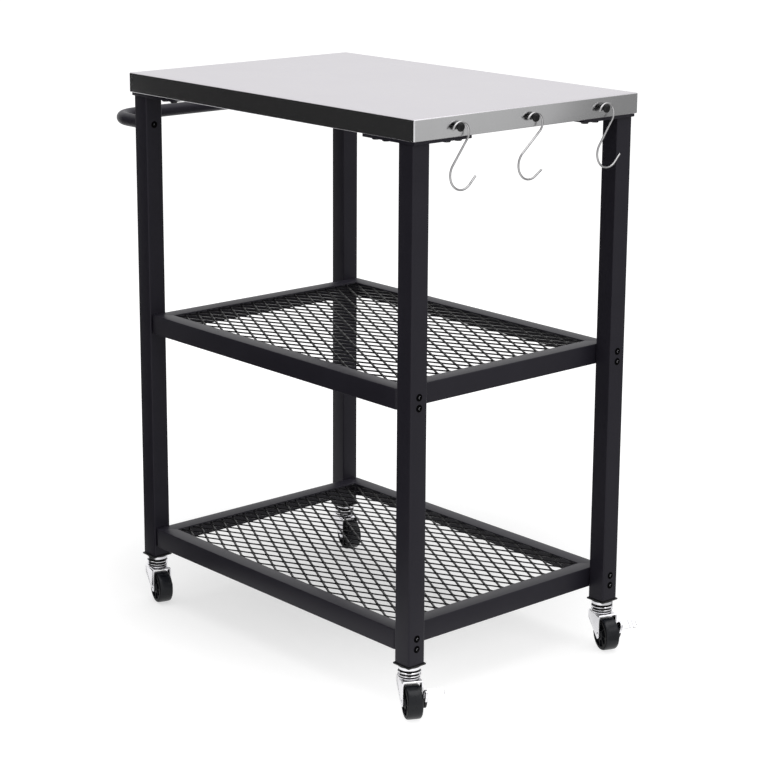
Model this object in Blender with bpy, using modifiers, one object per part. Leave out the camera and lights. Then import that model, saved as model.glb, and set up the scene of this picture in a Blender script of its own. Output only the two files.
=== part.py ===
"""Rolling grill cart: a folded steel top on four square legs, two framed net
shelves, a push handle, three pegs with S-hooks and four swivel casters, two
of them braked.

Metres, +Z up. X runs along the cart from the handle (-X) to the pegs (+X),
Y runs across it, and the floor is at Z = 0.
"""

import math

import bmesh
import bpy
from mathutils import Matrix, Vector

# Clearances
REST_GAP = 0.0003
HOLE_CLEARANCE = 0.0004
SLIDE_CLEARANCE = 0.0003

# Top
TOP_LENGTH = 0.650
TOP_WIDTH = 0.435
TOP_HEIGHT = 0.850
SKIRT_HEIGHT = 0.030
SHEET_THICKNESS = 0.0012
SHEET_BEND_RADIUS = 0.0016
RETURN_FLANGE = 0.028

# Legs
LEG_SIZE = 0.030
LEG_WALL = 0.0015
LEG_CORNER_RADIUS = 0.002
LEG_INSET_X = 0.0065
LEG_INSET_Y = 0.0045
LEG_FOOT_HEIGHT = 0.077

# Corner plates that join the legs to the top
PLATE_SIZE = 0.105
PLATE_THICKNESS = 0.003
PLATE_MARGIN = 0.003
PLATE_ARM_WIDTH = 0.042
PLATE_BOLT_EDGE = 0.0125
PLATE_BOLT_REACHES = (0.070, 0.091)
PLATE_BOLT_RADIUS = 0.003
PLATE_BOLT_HEAD_RADIUS = 0.0065
PLATE_BOLT_HEAD_HEIGHT = 0.0055
PLATE_BOLT_END = 0.006

# Plugs in the lower leg ends
PLUG_FLANGE_OVERHANG = 0.002
PLUG_FLANGE_THICKNESS = 0.0025
PLUG_DEPTH = 0.016

# Shelves
SHELF_TOPS = {"mid": 0.475, "low": 0.124}
RAIL_HEIGHT = 0.030
RAIL_FLANGE = 0.025
RAIL_WALL = 0.0025
FRAME_RECESS_Y = 0.002
FRAME_CORNER_RADIUS = 0.006

# Net panels
NET_THICKNESS = 0.0016
NET_STRAND = 0.0042
NET_DIAMOND_LENGTH = 0.0877
NET_DIAMOND_WIDTH = 0.0465
NET_LAP = 0.008

# Bolts through the legs
BOLT_RADIUS = 0.003
BOLT_HEAD_RADIUS = 0.0053
BOLT_HEAD_HEIGHT = 0.0033
BOLT_NUT_RADIUS = 0.0050
BOLT_NUT_HEIGHT = 0.0045
SHELF_BOLT_SPACING = 0.0155

# Push handle
HANDLE_TUBE_RADIUS = 0.010
HANDLE_TUBE_WALL = 0.0015
HANDLE_REACH = 0.0875
HANDLE_BEND_RADIUS = 0.050
HANDLE_DROP = 0.078
HANDLE_INSERT = 0.014
HANDLE_BOLT_BITE = 0.012

# Pegs and S-hooks
PEG_SPACING = 0.142
PEG_DROP = 0.015
PEG_STEM_RADIUS = 0.004
PEG_STEM_LENGTH = 0.008
PEG_HEAD_RADIUS = 0.0066
PEG_HEAD_HEIGHT = 0.0048
PEG_SHANK_RADIUS = 0.0025
PEG_NUT_RADIUS = 0.0045
PEG_NUT_HEIGHT = 0.004
HOOK_WIRE_RADIUS = 0.0015
HOOK_UPPER_RADIUS = 0.015
HOOK_LOWER_RADIUS = 0.0215
HOOK_CENTRES = 0.056
HOOK_UPPER_OPENING = math.radians(200.0)
HOOK_LOWER_TURN = math.radians(42.0)
HOOK_TAIL = 0.015
HOOK_SIDE_SHIFT = 0.0025
HOOK_SWINGS = (math.radians(1.0), math.radians(-11.0), math.radians(2.5))

# Casters
WHEEL_RADIUS = 0.025
WHEEL_WIDTH = 0.020
WHEEL_SHOULDER = 0.0035
WHEEL_HUB_RADIUS = 0.009
WHEEL_RECESS = 0.0025
WHEEL_RIM_RADIUS = 0.019
CASTER_TRAIL = 0.018
AXLE_RADIUS = 0.004
AXLE_HEAD_RADIUS = 0.0065
AXLE_HEAD_HEIGHT = 0.0035
FORK_SIDE_GAP = 0.0015
FORK_WALL = 0.0022
FORK_BRIDGE_HEIGHT = 0.0540
FORK_LENGTH = 0.0400
FORK_SHOULDER = 0.0140
FORK_EYE_RADIUS = 0.0070
FORK_CROWN_RADIUS = 0.0160
FORK_CROWN_HEIGHT = 0.0065
KING_PIN_RADIUS = 0.006
KING_PIN_HEAD_RADIUS = 0.0075
KING_PIN_HEAD_HEIGHT = 0.002
RACE_RADIUS = 0.0165
RACE_HEIGHT = 0.005
RACE_GROOVE_RADIUS = 0.013
CASTER_CAP_HEIGHT = 0.0035
STEM_RADIUS = 0.005
STEM_LENGTH = 0.015
CASTER_HEADINGS = {
    "front": math.radians(-28.5),
    "right": math.radians(-21.0),
    "left": math.radians(-16.0),
    "back": math.radians(-13.0),
}

# Side brakes
BRAKED_CASTERS = ("front", "right")
BRAKE_PLATE = 0.0022
BRAKE_HUB_RADIUS = 0.0085
BRAKE_ARM_LENGTH = 0.019
BRAKE_ARM_RADIUS = 0.006
BRAKE_ARM_ANGLE = math.radians(52.0)
BRAKE_TAB_LENGTH = 0.026
BRAKE_TAB_WIDTH = 0.014

# Facets of round pieces
BOLT_STEPS = 8
PEG_STEPS = 12
STEM_STEPS = 14
AXLE_STEPS = 10
WHEEL_STEPS = 24
HOLE_SIDES = 8
BEND_STEPS = 6
HOOK_BEND_STEPS = 10

# Edges that bend by more than this are shaded sharp
SMOOTH_ANGLE = math.radians(50.0)

# Sizes worked out from the ones above
HALF_TOP_X = TOP_LENGTH / 2
HALF_TOP_Y = TOP_WIDTH / 2
LEG_OUTER_X = HALF_TOP_X - LEG_INSET_X
LEG_OUTER_Y = HALF_TOP_Y - LEG_INSET_Y
LEG_X = LEG_OUTER_X - LEG_SIZE / 2
LEG_Y = LEG_OUTER_Y - LEG_SIZE / 2
LEG_BORE = LEG_SIZE - 2 * LEG_WALL
TOP_UNDERSIDE = TOP_HEIGHT - SKIRT_HEIGHT
PLATE_TOP = TOP_UNDERSIDE - REST_GAP
PLATE_UNDERSIDE = PLATE_TOP - PLATE_THICKNESS
SHELF_BOLT_DROP = RAIL_WALL + REST_GAP + BOLT_NUT_RADIUS
LEG_TOP = PLATE_UNDERSIDE - REST_GAP
HANDLE_HEIGHT = TOP_HEIGHT - HANDLE_DROP
PEG_HEIGHT = TOP_HEIGHT - PEG_DROP
PLUG_TOP = LEG_FOOT_HEIGHT - REST_GAP
PLUG_UNDERSIDE = PLUG_TOP - PLUG_FLANGE_THICKNESS
FRAME_HALF_X = LEG_OUTER_X - LEG_SIZE - REST_GAP
FRAME_HALF_Y = LEG_OUTER_Y - FRAME_RECESS_Y
WINDOW_HALF_X = FRAME_HALF_X - RAIL_FLANGE
WINDOW_HALF_Y = FRAME_HALF_Y - RAIL_FLANGE
FORK_INNER_Y = WHEEL_WIDTH / 2 + FORK_SIDE_GAP
FORK_OUTER_Y = FORK_INNER_Y + FORK_WALL
FORK_TOP = FORK_BRIDGE_HEIGHT + FORK_WALL
CROWN_TOP = FORK_TOP + FORK_CROWN_HEIGHT
PEG_BASE = HALF_TOP_X + REST_GAP
HOOK_PLANE = PEG_BASE + PEG_STEM_LENGTH - REST_GAP - HOOK_WIRE_RADIUS

CORNERS = {"front": (1, -1), "right": (1, 1), "left": (-1, -1), "back": (-1, 1)}


# Scene, materials and collections

def clear_scene():
    for old in list(bpy.data.objects):
        bpy.data.objects.remove(old, do_unlink=True)


def make_collection(name):
    made = bpy.data.collections.new(name)
    bpy.context.scene.collection.children.link(made)
    return made


def make_material(name, colour, metallic, roughness):
    made = bpy.data.materials.new(name)
    made.use_nodes = True
    shader = made.node_tree.nodes["Principled BSDF"]
    shader.inputs["Base Color"].default_value = (*colour, 1.0)
    shader.inputs["Metallic"].default_value = metallic
    shader.inputs["Roughness"].default_value = roughness
    return made


clear_scene()
PARTS = make_collection("grill_cart")
CUTTERS = make_collection("cutters")
STAINLESS = make_material("stainless", (0.62, 0.62, 0.63), 1.0, 0.32)
BLACK_STEEL = make_material("black_steel", (0.022, 0.021, 0.024), 0.2, 0.45)
CHROME = make_material("chrome", (0.80, 0.80, 0.82), 1.0, 0.12)
BLACK_PLASTIC = make_material("black_plastic", (0.016, 0.016, 0.018), 0.0, 0.50)
WHEEL_BLACK = make_material("wheel_black", (0.012, 0.012, 0.014), 0.0, 0.40)


# Building blocks

def add_part(name, data, material, parent=None, location=(0, 0, 0), rotation=(0, 0, 0)):
    if not data.materials:
        data.materials.append(material)
    part = bpy.data.objects.new(name, data)
    PARTS.objects.link(part)
    part.parent = parent
    part.location = location
    part.rotation_euler = rotation
    return part


def add_empty(name, parent, location, turn=0.0):
    empty = bpy.data.objects.new(name, None)
    bpy.context.scene.collection.objects.link(empty)
    empty.parent = parent
    empty.location = location
    empty.rotation_euler = (0, 0, turn)
    empty.empty_display_size = 0.02
    return empty


def add_cutter(name, data, parent=None, location=(0, 0, 0)):
    cutter = bpy.data.objects.new(name, data)
    CUTTERS.objects.link(cutter)
    cutter.parent = parent
    cutter.location = location
    cutter.hide_render = True
    cutter.display_type = "WIRE"
    return cutter


def add_boolean(part, other, operation):
    modifier = part.modifiers.new(other.name, "BOOLEAN")
    modifier.operation = operation
    modifier.solver = "EXACT"
    modifier.object = other
    return modifier


def mesh_from(name, work, smooth_angle=None):
    data = bpy.data.meshes.new(name)
    work.to_mesh(data)
    work.free()
    if smooth_angle is not None:
        data.shade_smooth()
        data.set_sharp_from_angle(angle=smooth_angle)
    return data


def add_box(work, low, high):
    """Add one box between two corners to a bmesh and return its vertices."""
    low = Vector(low)
    high = Vector(high)
    made = bmesh.ops.create_cube(work, size=1.0)["verts"]
    bmesh.ops.scale(work, vec=high - low, verts=made)
    bmesh.ops.translate(work, vec=(low + high) / 2, verts=made)
    return made


def box_mesh(name, low, high, upright_radius=0.0, all_radius=0.0):
    """A box between two corners, with its upright edges or all edges rounded."""
    work = bmesh.new()
    add_box(work, low, high)
    if upright_radius > 0:
        upright = [e for e in work.edges
                   if abs(e.verts[0].co.z - e.verts[1].co.z) > abs(high[2] - low[2]) / 2]
        bmesh.ops.bevel(work, geom=upright, offset=upright_radius, segments=2,
                        profile=0.5, affect="EDGES")
    if all_radius > 0:
        bmesh.ops.bevel(work, geom=list(work.edges), offset=all_radius, segments=2,
                        profile=0.5, affect="EDGES")
    return mesh_from(name, work, SMOOTH_ANGLE)


def add_rod(work, radius, start, end, sides):
    """Add one closed cylinder between two points to a bmesh."""
    start = Vector(start)
    end = Vector(end)
    along = end - start
    turn = along.to_track_quat("Z", "Y").to_matrix().to_4x4()
    turn.translation = (start + end) / 2
    bmesh.ops.create_cone(work, cap_ends=True, segments=sides, radius1=radius,
                          radius2=radius, depth=along.length, matrix=turn)


def rods_mesh(name, rods, sides):
    """A mesh of separate cylinders, each given as (radius, start, end)."""
    work = bmesh.new()
    for radius, start, end in rods:
        add_rod(work, radius, start, end, sides)
    return mesh_from(name, work)


def turned_mesh(name, profile, closed=False):
    """A profile of (radius, height) pairs, run from top to bottom, for a Screw."""
    work = bmesh.new()
    points = [work.verts.new((radius, 0, height)) for radius, height in profile]
    for first, second in zip(points, points[1:]):
        work.edges.new((first, second))
    if closed:
        work.edges.new((points[-1], points[0]))
    return mesh_from(name, work)


def add_turned(name, data, material, steps, **place):
    part = add_part(name, data, material, **place)
    screw = part.modifiers.new("turn", "SCREW")
    screw.axis = "Z"
    screw.steps = steps
    screw.render_steps = steps
    screw.use_merge_vertices = True
    screw.merge_threshold = 0.00001
    screw.use_smooth_shade = True
    return part


def outline_curve(name, outlines, thickness):
    """A flat plate from closed outlines; the inner ones are its openings."""
    data = bpy.data.curves.new(name, "CURVE")
    data.dimensions = "2D"
    data.fill_mode = "BOTH"
    data.extrude = thickness / 2
    for outline in outlines:
        spline = data.splines.new("POLY")
        spline.points.add(len(outline) - 1)
        for point, (x, y) in zip(spline.points, outline):
            point.co = (x, y, 0, 1)
        spline.use_cyclic_u = True
    return data


def wire_curve(name, route, radius, resolution):
    """A round wire or tube along a route of points, with closed ends."""
    data = bpy.data.curves.new(name, "CURVE")
    data.dimensions = "3D"
    data.bevel_depth = radius
    data.bevel_resolution = resolution
    data.use_fill_caps = True
    spline = data.splines.new("POLY")
    spline.points.add(len(route) - 1)
    for point, place in zip(spline.points, route):
        point.co = (*place, 1)
    return data


def curve_as_mesh(name, curve):
    """The closed mesh of a curve, with its caps or faces welded."""
    holder = bpy.data.objects.new(name + "_curve", curve)
    CUTTERS.objects.link(holder)
    bpy.context.view_layer.update()
    seen = holder.evaluated_get(bpy.context.evaluated_depsgraph_get())
    data = bpy.data.meshes.new_from_object(seen)
    data.name = name
    bpy.data.objects.remove(holder, do_unlink=True)
    bpy.data.curves.remove(curve)
    work = bmesh.new()
    work.from_mesh(data)
    bmesh.ops.remove_doubles(work, verts=work.verts, dist=0.000005)
    bmesh.ops.recalc_face_normals(work, faces=work.faces)
    work.to_mesh(data)
    work.free()
    return data


def arc_points(centre, radius, start, end, steps):
    """Points of an arc in a plane, both ends included."""
    points = []
    for step in range(steps + 1):
        angle = start + (end - start) * step / steps
        points.append((centre[0] + radius * math.cos(angle),
                       centre[1] + radius * math.sin(angle)))
    return points


# The top

def build_top(root):
    outer = box_mesh("top_sheet", (-HALF_TOP_X, -HALF_TOP_Y, TOP_UNDERSIDE),
                     (HALF_TOP_X, HALF_TOP_Y, TOP_HEIGHT), all_radius=SHEET_BEND_RADIUS)
    top = add_part("top_sheet", outer, STAINLESS, parent=root)
    inner_x = HALF_TOP_X - SHEET_THICKNESS
    inner_y = HALF_TOP_Y - SHEET_THICKNESS
    hollow = box_mesh("top_hollow", (-inner_x, -inner_y, TOP_UNDERSIDE + SHEET_THICKNESS),
                      (inner_x, inner_y, TOP_HEIGHT - SHEET_THICKNESS))
    window_x = HALF_TOP_X - RETURN_FLANGE
    window_y = HALF_TOP_Y - RETURN_FLANGE
    window = box_mesh("top_window", (-window_x, -window_y, TOP_UNDERSIDE - RETURN_FLANGE),
                      (window_x, window_y, TOP_UNDERSIDE + RETURN_FLANGE / 2))
    add_boolean(top, add_cutter("top_hollow", hollow, root), "DIFFERENCE")
    add_boolean(top, add_cutter("top_window", window, root), "DIFFERENCE")
    rods = []
    for corner in CORNERS:
        for x, y in plate_bolt_places(corner):
            rods.append((PLATE_BOLT_RADIUS + HOLE_CLEARANCE,
                         (x, y, TOP_UNDERSIDE - PLATE_BOLT_END),
                         (x, y, TOP_UNDERSIDE + PLATE_BOLT_END)))
    for y in peg_places():
        rods.append((PEG_SHANK_RADIUS + HOLE_CLEARANCE,
                     (HALF_TOP_X - PEG_STEM_LENGTH, y, PEG_HEIGHT),
                     (HALF_TOP_X + PEG_STEM_LENGTH, y, PEG_HEIGHT)))
    holes = rods_mesh("top_holes", rods, HOLE_SIDES)
    add_boolean(top, add_cutter("top_holes", holes, root), "DIFFERENCE")


# Legs, plates and plugs

def plate_corner(corner):
    """The outer corner of a plate, and the signs that lead outwards from the middle."""
    side_x, side_y = CORNERS[corner]
    return (side_x * (HALF_TOP_X - PLATE_MARGIN), side_y * (HALF_TOP_Y - PLATE_MARGIN),
            side_x, side_y)


def plate_bolt_places(corner):
    corner_x, corner_y, side_x, side_y = plate_corner(corner)
    places = []
    for reach in PLATE_BOLT_REACHES:
        places.append((corner_x - side_x * reach, corner_y - side_y * PLATE_BOLT_EDGE))
        places.append((corner_x - side_x * PLATE_BOLT_EDGE, corner_y - side_y * reach))
    return places


def build_plate(corner, root):
    """A corner plate with its four hexagon bolts, their ends up through the flange."""
    corner_x, corner_y, side_x, side_y = plate_corner(corner)
    arm = PLATE_ARM_WIDTH
    reaches = [(0, 0), (PLATE_SIZE, 0), (PLATE_SIZE, arm), (arm, PLATE_SIZE), (0, PLATE_SIZE)]
    outline = [(corner_x - side_x * x, corner_y - side_y * y) for x, y in reaches]
    name = "leg_plate_" + corner
    data = curve_as_mesh(name, outline_curve(name, [outline], PLATE_THICKNESS))
    middle = (PLATE_TOP + PLATE_UNDERSIDE) / 2
    plate = add_part(name, data, BLACK_STEEL, parent=root, location=(0, 0, middle))
    work = bmesh.new()
    overlap = PLATE_THICKNESS / 3
    for x, y in plate_bolt_places(corner):
        add_rod(work, PLATE_BOLT_HEAD_RADIUS,
                (x, y, PLATE_UNDERSIDE - PLATE_BOLT_HEAD_HEIGHT),
                (x, y, PLATE_UNDERSIDE + overlap), 6)
        add_rod(work, PLATE_BOLT_RADIUS, (x, y, PLATE_TOP - overlap),
                (x, y, PLATE_TOP + PLATE_BOLT_END), HOLE_SIDES)
    bolts = mesh_from(name + "_bolts", work)
    add_boolean(plate, add_cutter(name + "_bolts", bolts, root), "UNION")


def shelf_bolt_heights(shelf):
    """The upper bolt's nut clears the rail's flange, and the lower bolt lies below it."""
    upper = SHELF_TOPS[shelf] - SHELF_BOLT_DROP
    return [upper, upper - SHELF_BOLT_SPACING]


def all_shelf_bolt_heights():
    return [height for shelf in SHELF_TOPS for height in shelf_bolt_heights(shelf)]


def build_leg(corner, root):
    side_x, side_y = CORNERS[corner]
    half = LEG_SIZE / 2
    outer = box_mesh("leg_tube_" + corner, (-half, -half, LEG_FOOT_HEIGHT),
                     (half, half, LEG_TOP), upright_radius=LEG_CORNER_RADIUS)
    place = (side_x * LEG_X, side_y * LEG_Y, 0)
    leg = add_part("leg_tube_" + corner, outer, BLACK_STEEL, parent=root, location=place)
    inner = LEG_BORE / 2
    bore = box_mesh("leg_bore_" + corner, (-inner, -inner, LEG_FOOT_HEIGHT - LEG_SIZE),
                    (inner, inner, LEG_TOP + LEG_SIZE))
    add_boolean(leg, add_cutter("leg_bore_" + corner, bore, root, place), "DIFFERENCE")
    radius = BOLT_RADIUS + HOLE_CLEARANCE
    drilled = all_shelf_bolt_heights()
    if side_x < 0:
        drilled.append(HANDLE_HEIGHT)
    rods = [(radius, (-LEG_SIZE, 0, z), (LEG_SIZE, 0, z)) for z in drilled]
    holes = rods_mesh("leg_holes_" + corner, rods, HOLE_SIDES)
    add_boolean(leg, add_cutter("leg_holes_" + corner, holes, root, place), "DIFFERENCE")


def build_plug(corner, root):
    """A square plug: a flange under the leg end and a body inside the tube."""
    side_x, side_y = CORNERS[corner]
    place = (side_x * LEG_X, side_y * LEG_Y, 0)
    name = "leg_plug_" + corner
    half = LEG_SIZE / 2 + PLUG_FLANGE_OVERHANG
    flange = box_mesh(name, (-half, -half, PLUG_UNDERSIDE), (half, half, PLUG_TOP))
    plug = add_part(name, flange, BLACK_PLASTIC, parent=root, location=place)
    half = LEG_BORE / 2 - SLIDE_CLEARANCE
    body = box_mesh(name + "_body", (-half, -half, PLUG_TOP - PLUG_FLANGE_THICKNESS / 2),
                    (half, half, PLUG_TOP + PLUG_DEPTH))
    add_boolean(plug, add_cutter(name + "_body", body, root, place), "UNION")
    hole = rods_mesh(name + "_hole", [(STEM_RADIUS + HOLE_CLEARANCE,
                                       (0, 0, PLUG_UNDERSIDE - STEM_LENGTH),
                                       (0, 0, PLUG_TOP + 2 * PLUG_DEPTH))], STEM_STEPS)
    add_boolean(plug, add_cutter(name + "_hole", hole, root, place), "DIFFERENCE")


# Shelves

def build_shelf_frame(shelf, root):
    """A mitred frame of angle iron: a flange on top and a wall down its outer side."""
    top = SHELF_TOPS[shelf]
    name = "shelf_frame_" + shelf
    block = box_mesh(name, (-FRAME_HALF_X, -FRAME_HALF_Y, top - RAIL_HEIGHT),
                     (FRAME_HALF_X, FRAME_HALF_Y, top), upright_radius=FRAME_CORNER_RADIUS)
    frame = add_part(name, block, BLACK_STEEL, parent=root)
    inner_x = FRAME_HALF_X - RAIL_WALL
    inner_y = FRAME_HALF_Y - RAIL_WALL
    hollow = box_mesh(name + "_hollow", (-inner_x, -inner_y, top - 2 * RAIL_HEIGHT),
                      (inner_x, inner_y, top - RAIL_WALL),
                      upright_radius=FRAME_CORNER_RADIUS - RAIL_WALL)
    window = box_mesh(name + "_window", (-WINDOW_HALF_X, -WINDOW_HALF_Y, top - 2 * RAIL_WALL),
                      (WINDOW_HALF_X, WINDOW_HALF_Y, top + RAIL_WALL))
    add_boolean(frame, add_cutter(name + "_hollow", hollow, root), "DIFFERENCE")
    add_boolean(frame, add_cutter(name + "_window", window, root), "DIFFERENCE")
    rods = []
    for side_x in (-1, 1):
        for side_y in (-1, 1):
            for z in shelf_bolt_heights(shelf):
                rods.append((BOLT_RADIUS + HOLE_CLEARANCE,
                             (side_x * (FRAME_HALF_X - 2 * RAIL_WALL), side_y * LEG_Y, z),
                             (side_x * (FRAME_HALF_X + 2 * RAIL_WALL), side_y * LEG_Y, z)))
    holes = rods_mesh(name + "_holes", rods, HOLE_SIDES)
    add_boolean(frame, add_cutter(name + "_holes", holes, root), "DIFFERENCE")


def net_outlines():
    """The rim of a net panel, then its diamonds, halved where they meet the rim."""
    rim_x = WINDOW_HALF_X + NET_LAP
    rim_y = WINDOW_HALF_Y + NET_LAP
    outlines = [[(-rim_x, -rim_y), (rim_x, -rim_y), (rim_x, rim_y), (-rim_x, rim_y)]]
    columns = 2 * max(1, round(2 * WINDOW_HALF_X / NET_DIAMOND_LENGTH))
    rows = 2 * max(1, round(2 * WINDOW_HALF_Y / NET_DIAMOND_WIDTH))
    step_x = 2 * WINDOW_HALF_X / columns
    step_y = 2 * WINDOW_HALF_Y / rows
    slant = math.atan2(step_y, step_x)
    reach_x = step_x - NET_STRAND / 2 / math.sin(slant)
    reach_y = step_y - NET_STRAND / 2 / math.cos(slant)
    for column in range(columns + 1):
        for row in range(rows + 1):
            if (column + row) % 2:
                continue
            x = -WINDOW_HALF_X + column * step_x
            y = -WINDOW_HALF_Y + row * step_y
            tips = [(x + reach_x, y), (x, y + reach_y), (x - reach_x, y), (x, y - reach_y)]
            inside = [tip for tip in tips
                      if abs(tip[0]) < WINDOW_HALF_X + step_x / 2
                      and abs(tip[1]) < WINDOW_HALF_Y + step_y / 2]
            if len(inside) >= 3:
                outlines.append(inside)
    return outlines


def build_shelf_net(shelf, root):
    name = "shelf_net_" + shelf
    net = outline_curve(name, net_outlines(), NET_THICKNESS)
    middle = SHELF_TOPS[shelf] - RAIL_WALL - REST_GAP - NET_THICKNESS / 2
    add_part(name, net, BLACK_STEEL, parent=root, location=(0, 0, middle))


# Bolts

def bolt_profile(grip, nut):
    """A round-headed bolt that starts under its head at height zero and runs down."""
    profile = [
        (0, BOLT_HEAD_HEIGHT),
        (BOLT_HEAD_RADIUS * 0.7, BOLT_HEAD_HEIGHT * 0.8),
        (BOLT_HEAD_RADIUS, 0),
        (BOLT_RADIUS, 0),
        (BOLT_RADIUS, -grip),
    ]
    if nut:
        end = -grip - BOLT_NUT_HEIGHT
        profile += [(BOLT_NUT_RADIUS, -grip), (BOLT_NUT_RADIUS, end), (0, end)]
    else:
        profile.append((0, -grip))
    return profile


def build_shelf_bolts(root):
    grip = REST_GAP + LEG_SIZE + REST_GAP + RAIL_WALL + REST_GAP
    data = turned_mesh("shelf_bolt", bolt_profile(grip, nut=True))
    for corner, (side_x, side_y) in CORNERS.items():
        for number, height in enumerate(all_shelf_bolt_heights(), start=1):
            place = (side_x * (LEG_OUTER_X + REST_GAP), side_y * LEG_Y, height)
            add_turned("shelf_bolt_%s_%d" % (corner, number), data, BLACK_STEEL, BOLT_STEPS,
                       parent=root, location=place, rotation=(0, side_x * math.pi / 2, 0))


def build_handle_bolts(root):
    grip = REST_GAP + LEG_SIZE + REST_GAP + HANDLE_BOLT_BITE
    data = turned_mesh("handle_bolt", bolt_profile(grip, nut=False))
    for corner in ("left", "back"):
        side_y = CORNERS[corner][1]
        inner_face = -LEG_OUTER_X + LEG_SIZE
        add_turned("handle_bolt_" + corner, data, BLACK_STEEL, BOLT_STEPS, parent=root,
                   location=(inner_face + REST_GAP, side_y * LEG_Y, HANDLE_HEIGHT),
                   rotation=(0, math.pi / 2, 0))


# Push handle

def handle_route(shortened):
    """The handle's middle line from one leg to the other, its ends drawn in."""
    leg_face = -LEG_OUTER_X - REST_GAP
    bar = -LEG_OUTER_X - HANDLE_REACH
    bend = HANDLE_BEND_RADIUS
    near = arc_points((bar + bend, -LEG_Y + bend), bend, -math.pi / 2, -math.pi, BEND_STEPS)
    far = [(x, -y) for x, y in reversed(near)]
    flat = [(leg_face - shortened, -LEG_Y)] + near + far + [(leg_face - shortened, LEG_Y)]
    return [(x, y, HANDLE_HEIGHT) for x, y in flat]


def build_handle(root):
    tube = curve_as_mesh("push_handle", wire_curve("push_handle", handle_route(0.0),
                                                   HANDLE_TUBE_RADIUS, 2))
    tube.shade_smooth()
    tube.set_sharp_from_angle(angle=SMOOTH_ANGLE)
    handle = add_part("push_handle", tube, BLACK_STEEL, parent=root)
    bore = curve_as_mesh("handle_bore",
                         wire_curve("handle_bore", handle_route(HANDLE_INSERT),
                                    HANDLE_TUBE_RADIUS - HANDLE_TUBE_WALL, 1))
    add_boolean(handle, add_cutter("handle_bore", bore, root), "DIFFERENCE")
    leg_face = -LEG_OUTER_X
    rods = [(BOLT_RADIUS + HOLE_CLEARANCE, (leg_face + LEG_WALL, side * LEG_Y, HANDLE_HEIGHT),
             (leg_face - HANDLE_INSERT - LEG_WALL, side * LEG_Y, HANDLE_HEIGHT))
            for side in (-1, 1)]
    holes = rods_mesh("handle_holes", rods, HOLE_SIDES)
    add_boolean(handle, add_cutter("handle_holes", holes, root), "DIFFERENCE")


# Pegs and S-hooks

def peg_places():
    return [-PEG_SPACING, 0.0, PEG_SPACING]


def build_pegs(root):
    """Studs with a domed head, a stem, a thin shank through the skirt and a nut."""
    nut_top = -REST_GAP - SHEET_THICKNESS - REST_GAP
    shoulder = PEG_STEM_LENGTH
    data = turned_mesh("hook_peg", [
        (0, shoulder + PEG_HEAD_HEIGHT),
        (PEG_HEAD_RADIUS * 0.55, shoulder + PEG_HEAD_HEIGHT * 0.9),
        (PEG_HEAD_RADIUS * 0.9, shoulder + PEG_HEAD_HEIGHT * 0.6),
        (PEG_HEAD_RADIUS, shoulder + PEG_HEAD_HEIGHT * 0.25),
        (PEG_HEAD_RADIUS * 0.94, shoulder),
        (PEG_STEM_RADIUS, shoulder),
        (PEG_STEM_RADIUS, 0),
        (PEG_SHANK_RADIUS, 0),
        (PEG_SHANK_RADIUS, nut_top),
        (PEG_NUT_RADIUS, nut_top),
        (PEG_NUT_RADIUS, nut_top - PEG_NUT_HEIGHT),
        (0, nut_top - PEG_NUT_HEIGHT),
    ])
    for number, y in enumerate(peg_places(), start=1):
        add_turned("hook_peg_%d" % number, data, BLACK_STEEL, PEG_STEPS, parent=root,
                   location=(PEG_BASE, y, PEG_HEIGHT),
                   rotation=(0, math.pi / 2, 0))


def hook_route():
    """An S-hook in its own plane, the middle of its upper bend at the origin."""
    upper = HOOK_UPPER_RADIUS
    lower = HOOK_LOWER_RADIUS
    lower_centre = (0.0, -HOOK_CENTRES)
    cross = math.asin((upper + lower) / HOOK_CENTRES)
    leave = -cross
    touch = leave + math.pi
    first = arc_points((0.0, 0.0), upper, leave + HOOK_UPPER_OPENING, leave, HOOK_BEND_STEPS)
    end = math.radians(270) + HOOK_LOWER_TURN
    second = arc_points(lower_centre, lower, touch, end, HOOK_BEND_STEPS)
    tail_x = second[-1][0] - math.sin(end) * HOOK_TAIL
    tail_y = second[-1][1] + math.cos(end) * HOOK_TAIL
    return first + second + [(tail_x, tail_y)]


def hook_balance(route):
    """The turn that brings the hook's middle of mass straight below its upper bend."""
    moment_x = 0.0
    moment_y = 0.0
    for (x0, y0), (x1, y1) in zip(route, route[1:]):
        length = math.hypot(x1 - x0, y1 - y0)
        moment_x += length * (x0 + x1) / 2
        moment_y += length * (y0 + y1) / 2
    return math.atan2(moment_x, -moment_y)


def build_hooks(root):
    """Hooks that hang on their pegs by the inside of the upper bend, rolled a little aside."""
    route = hook_route()
    reach = HOOK_UPPER_RADIUS - HOOK_WIRE_RADIUS - PEG_STEM_RADIUS - REST_GAP
    drop = math.sqrt(reach ** 2 - HOOK_SIDE_SHIFT ** 2)
    balance = hook_balance(route)
    for number, (y, swing) in enumerate(zip(peg_places(), HOOK_SWINGS), start=1):
        hang = Matrix.Rotation(swing, 3, "X") @ Vector((0, HOOK_SIDE_SHIFT, -drop))
        turn = Matrix.Rotation(swing - balance, 3, "X")
        points = [turn @ Vector((0, across, up)) + hang for across, up in route]
        name = "s_hook_%d" % number
        wire = wire_curve(name, points, HOOK_WIRE_RADIUS, 1)
        add_part(name, wire, CHROME, parent=root, location=(HOOK_PLANE, y, PEG_HEIGHT))


# Casters

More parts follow.
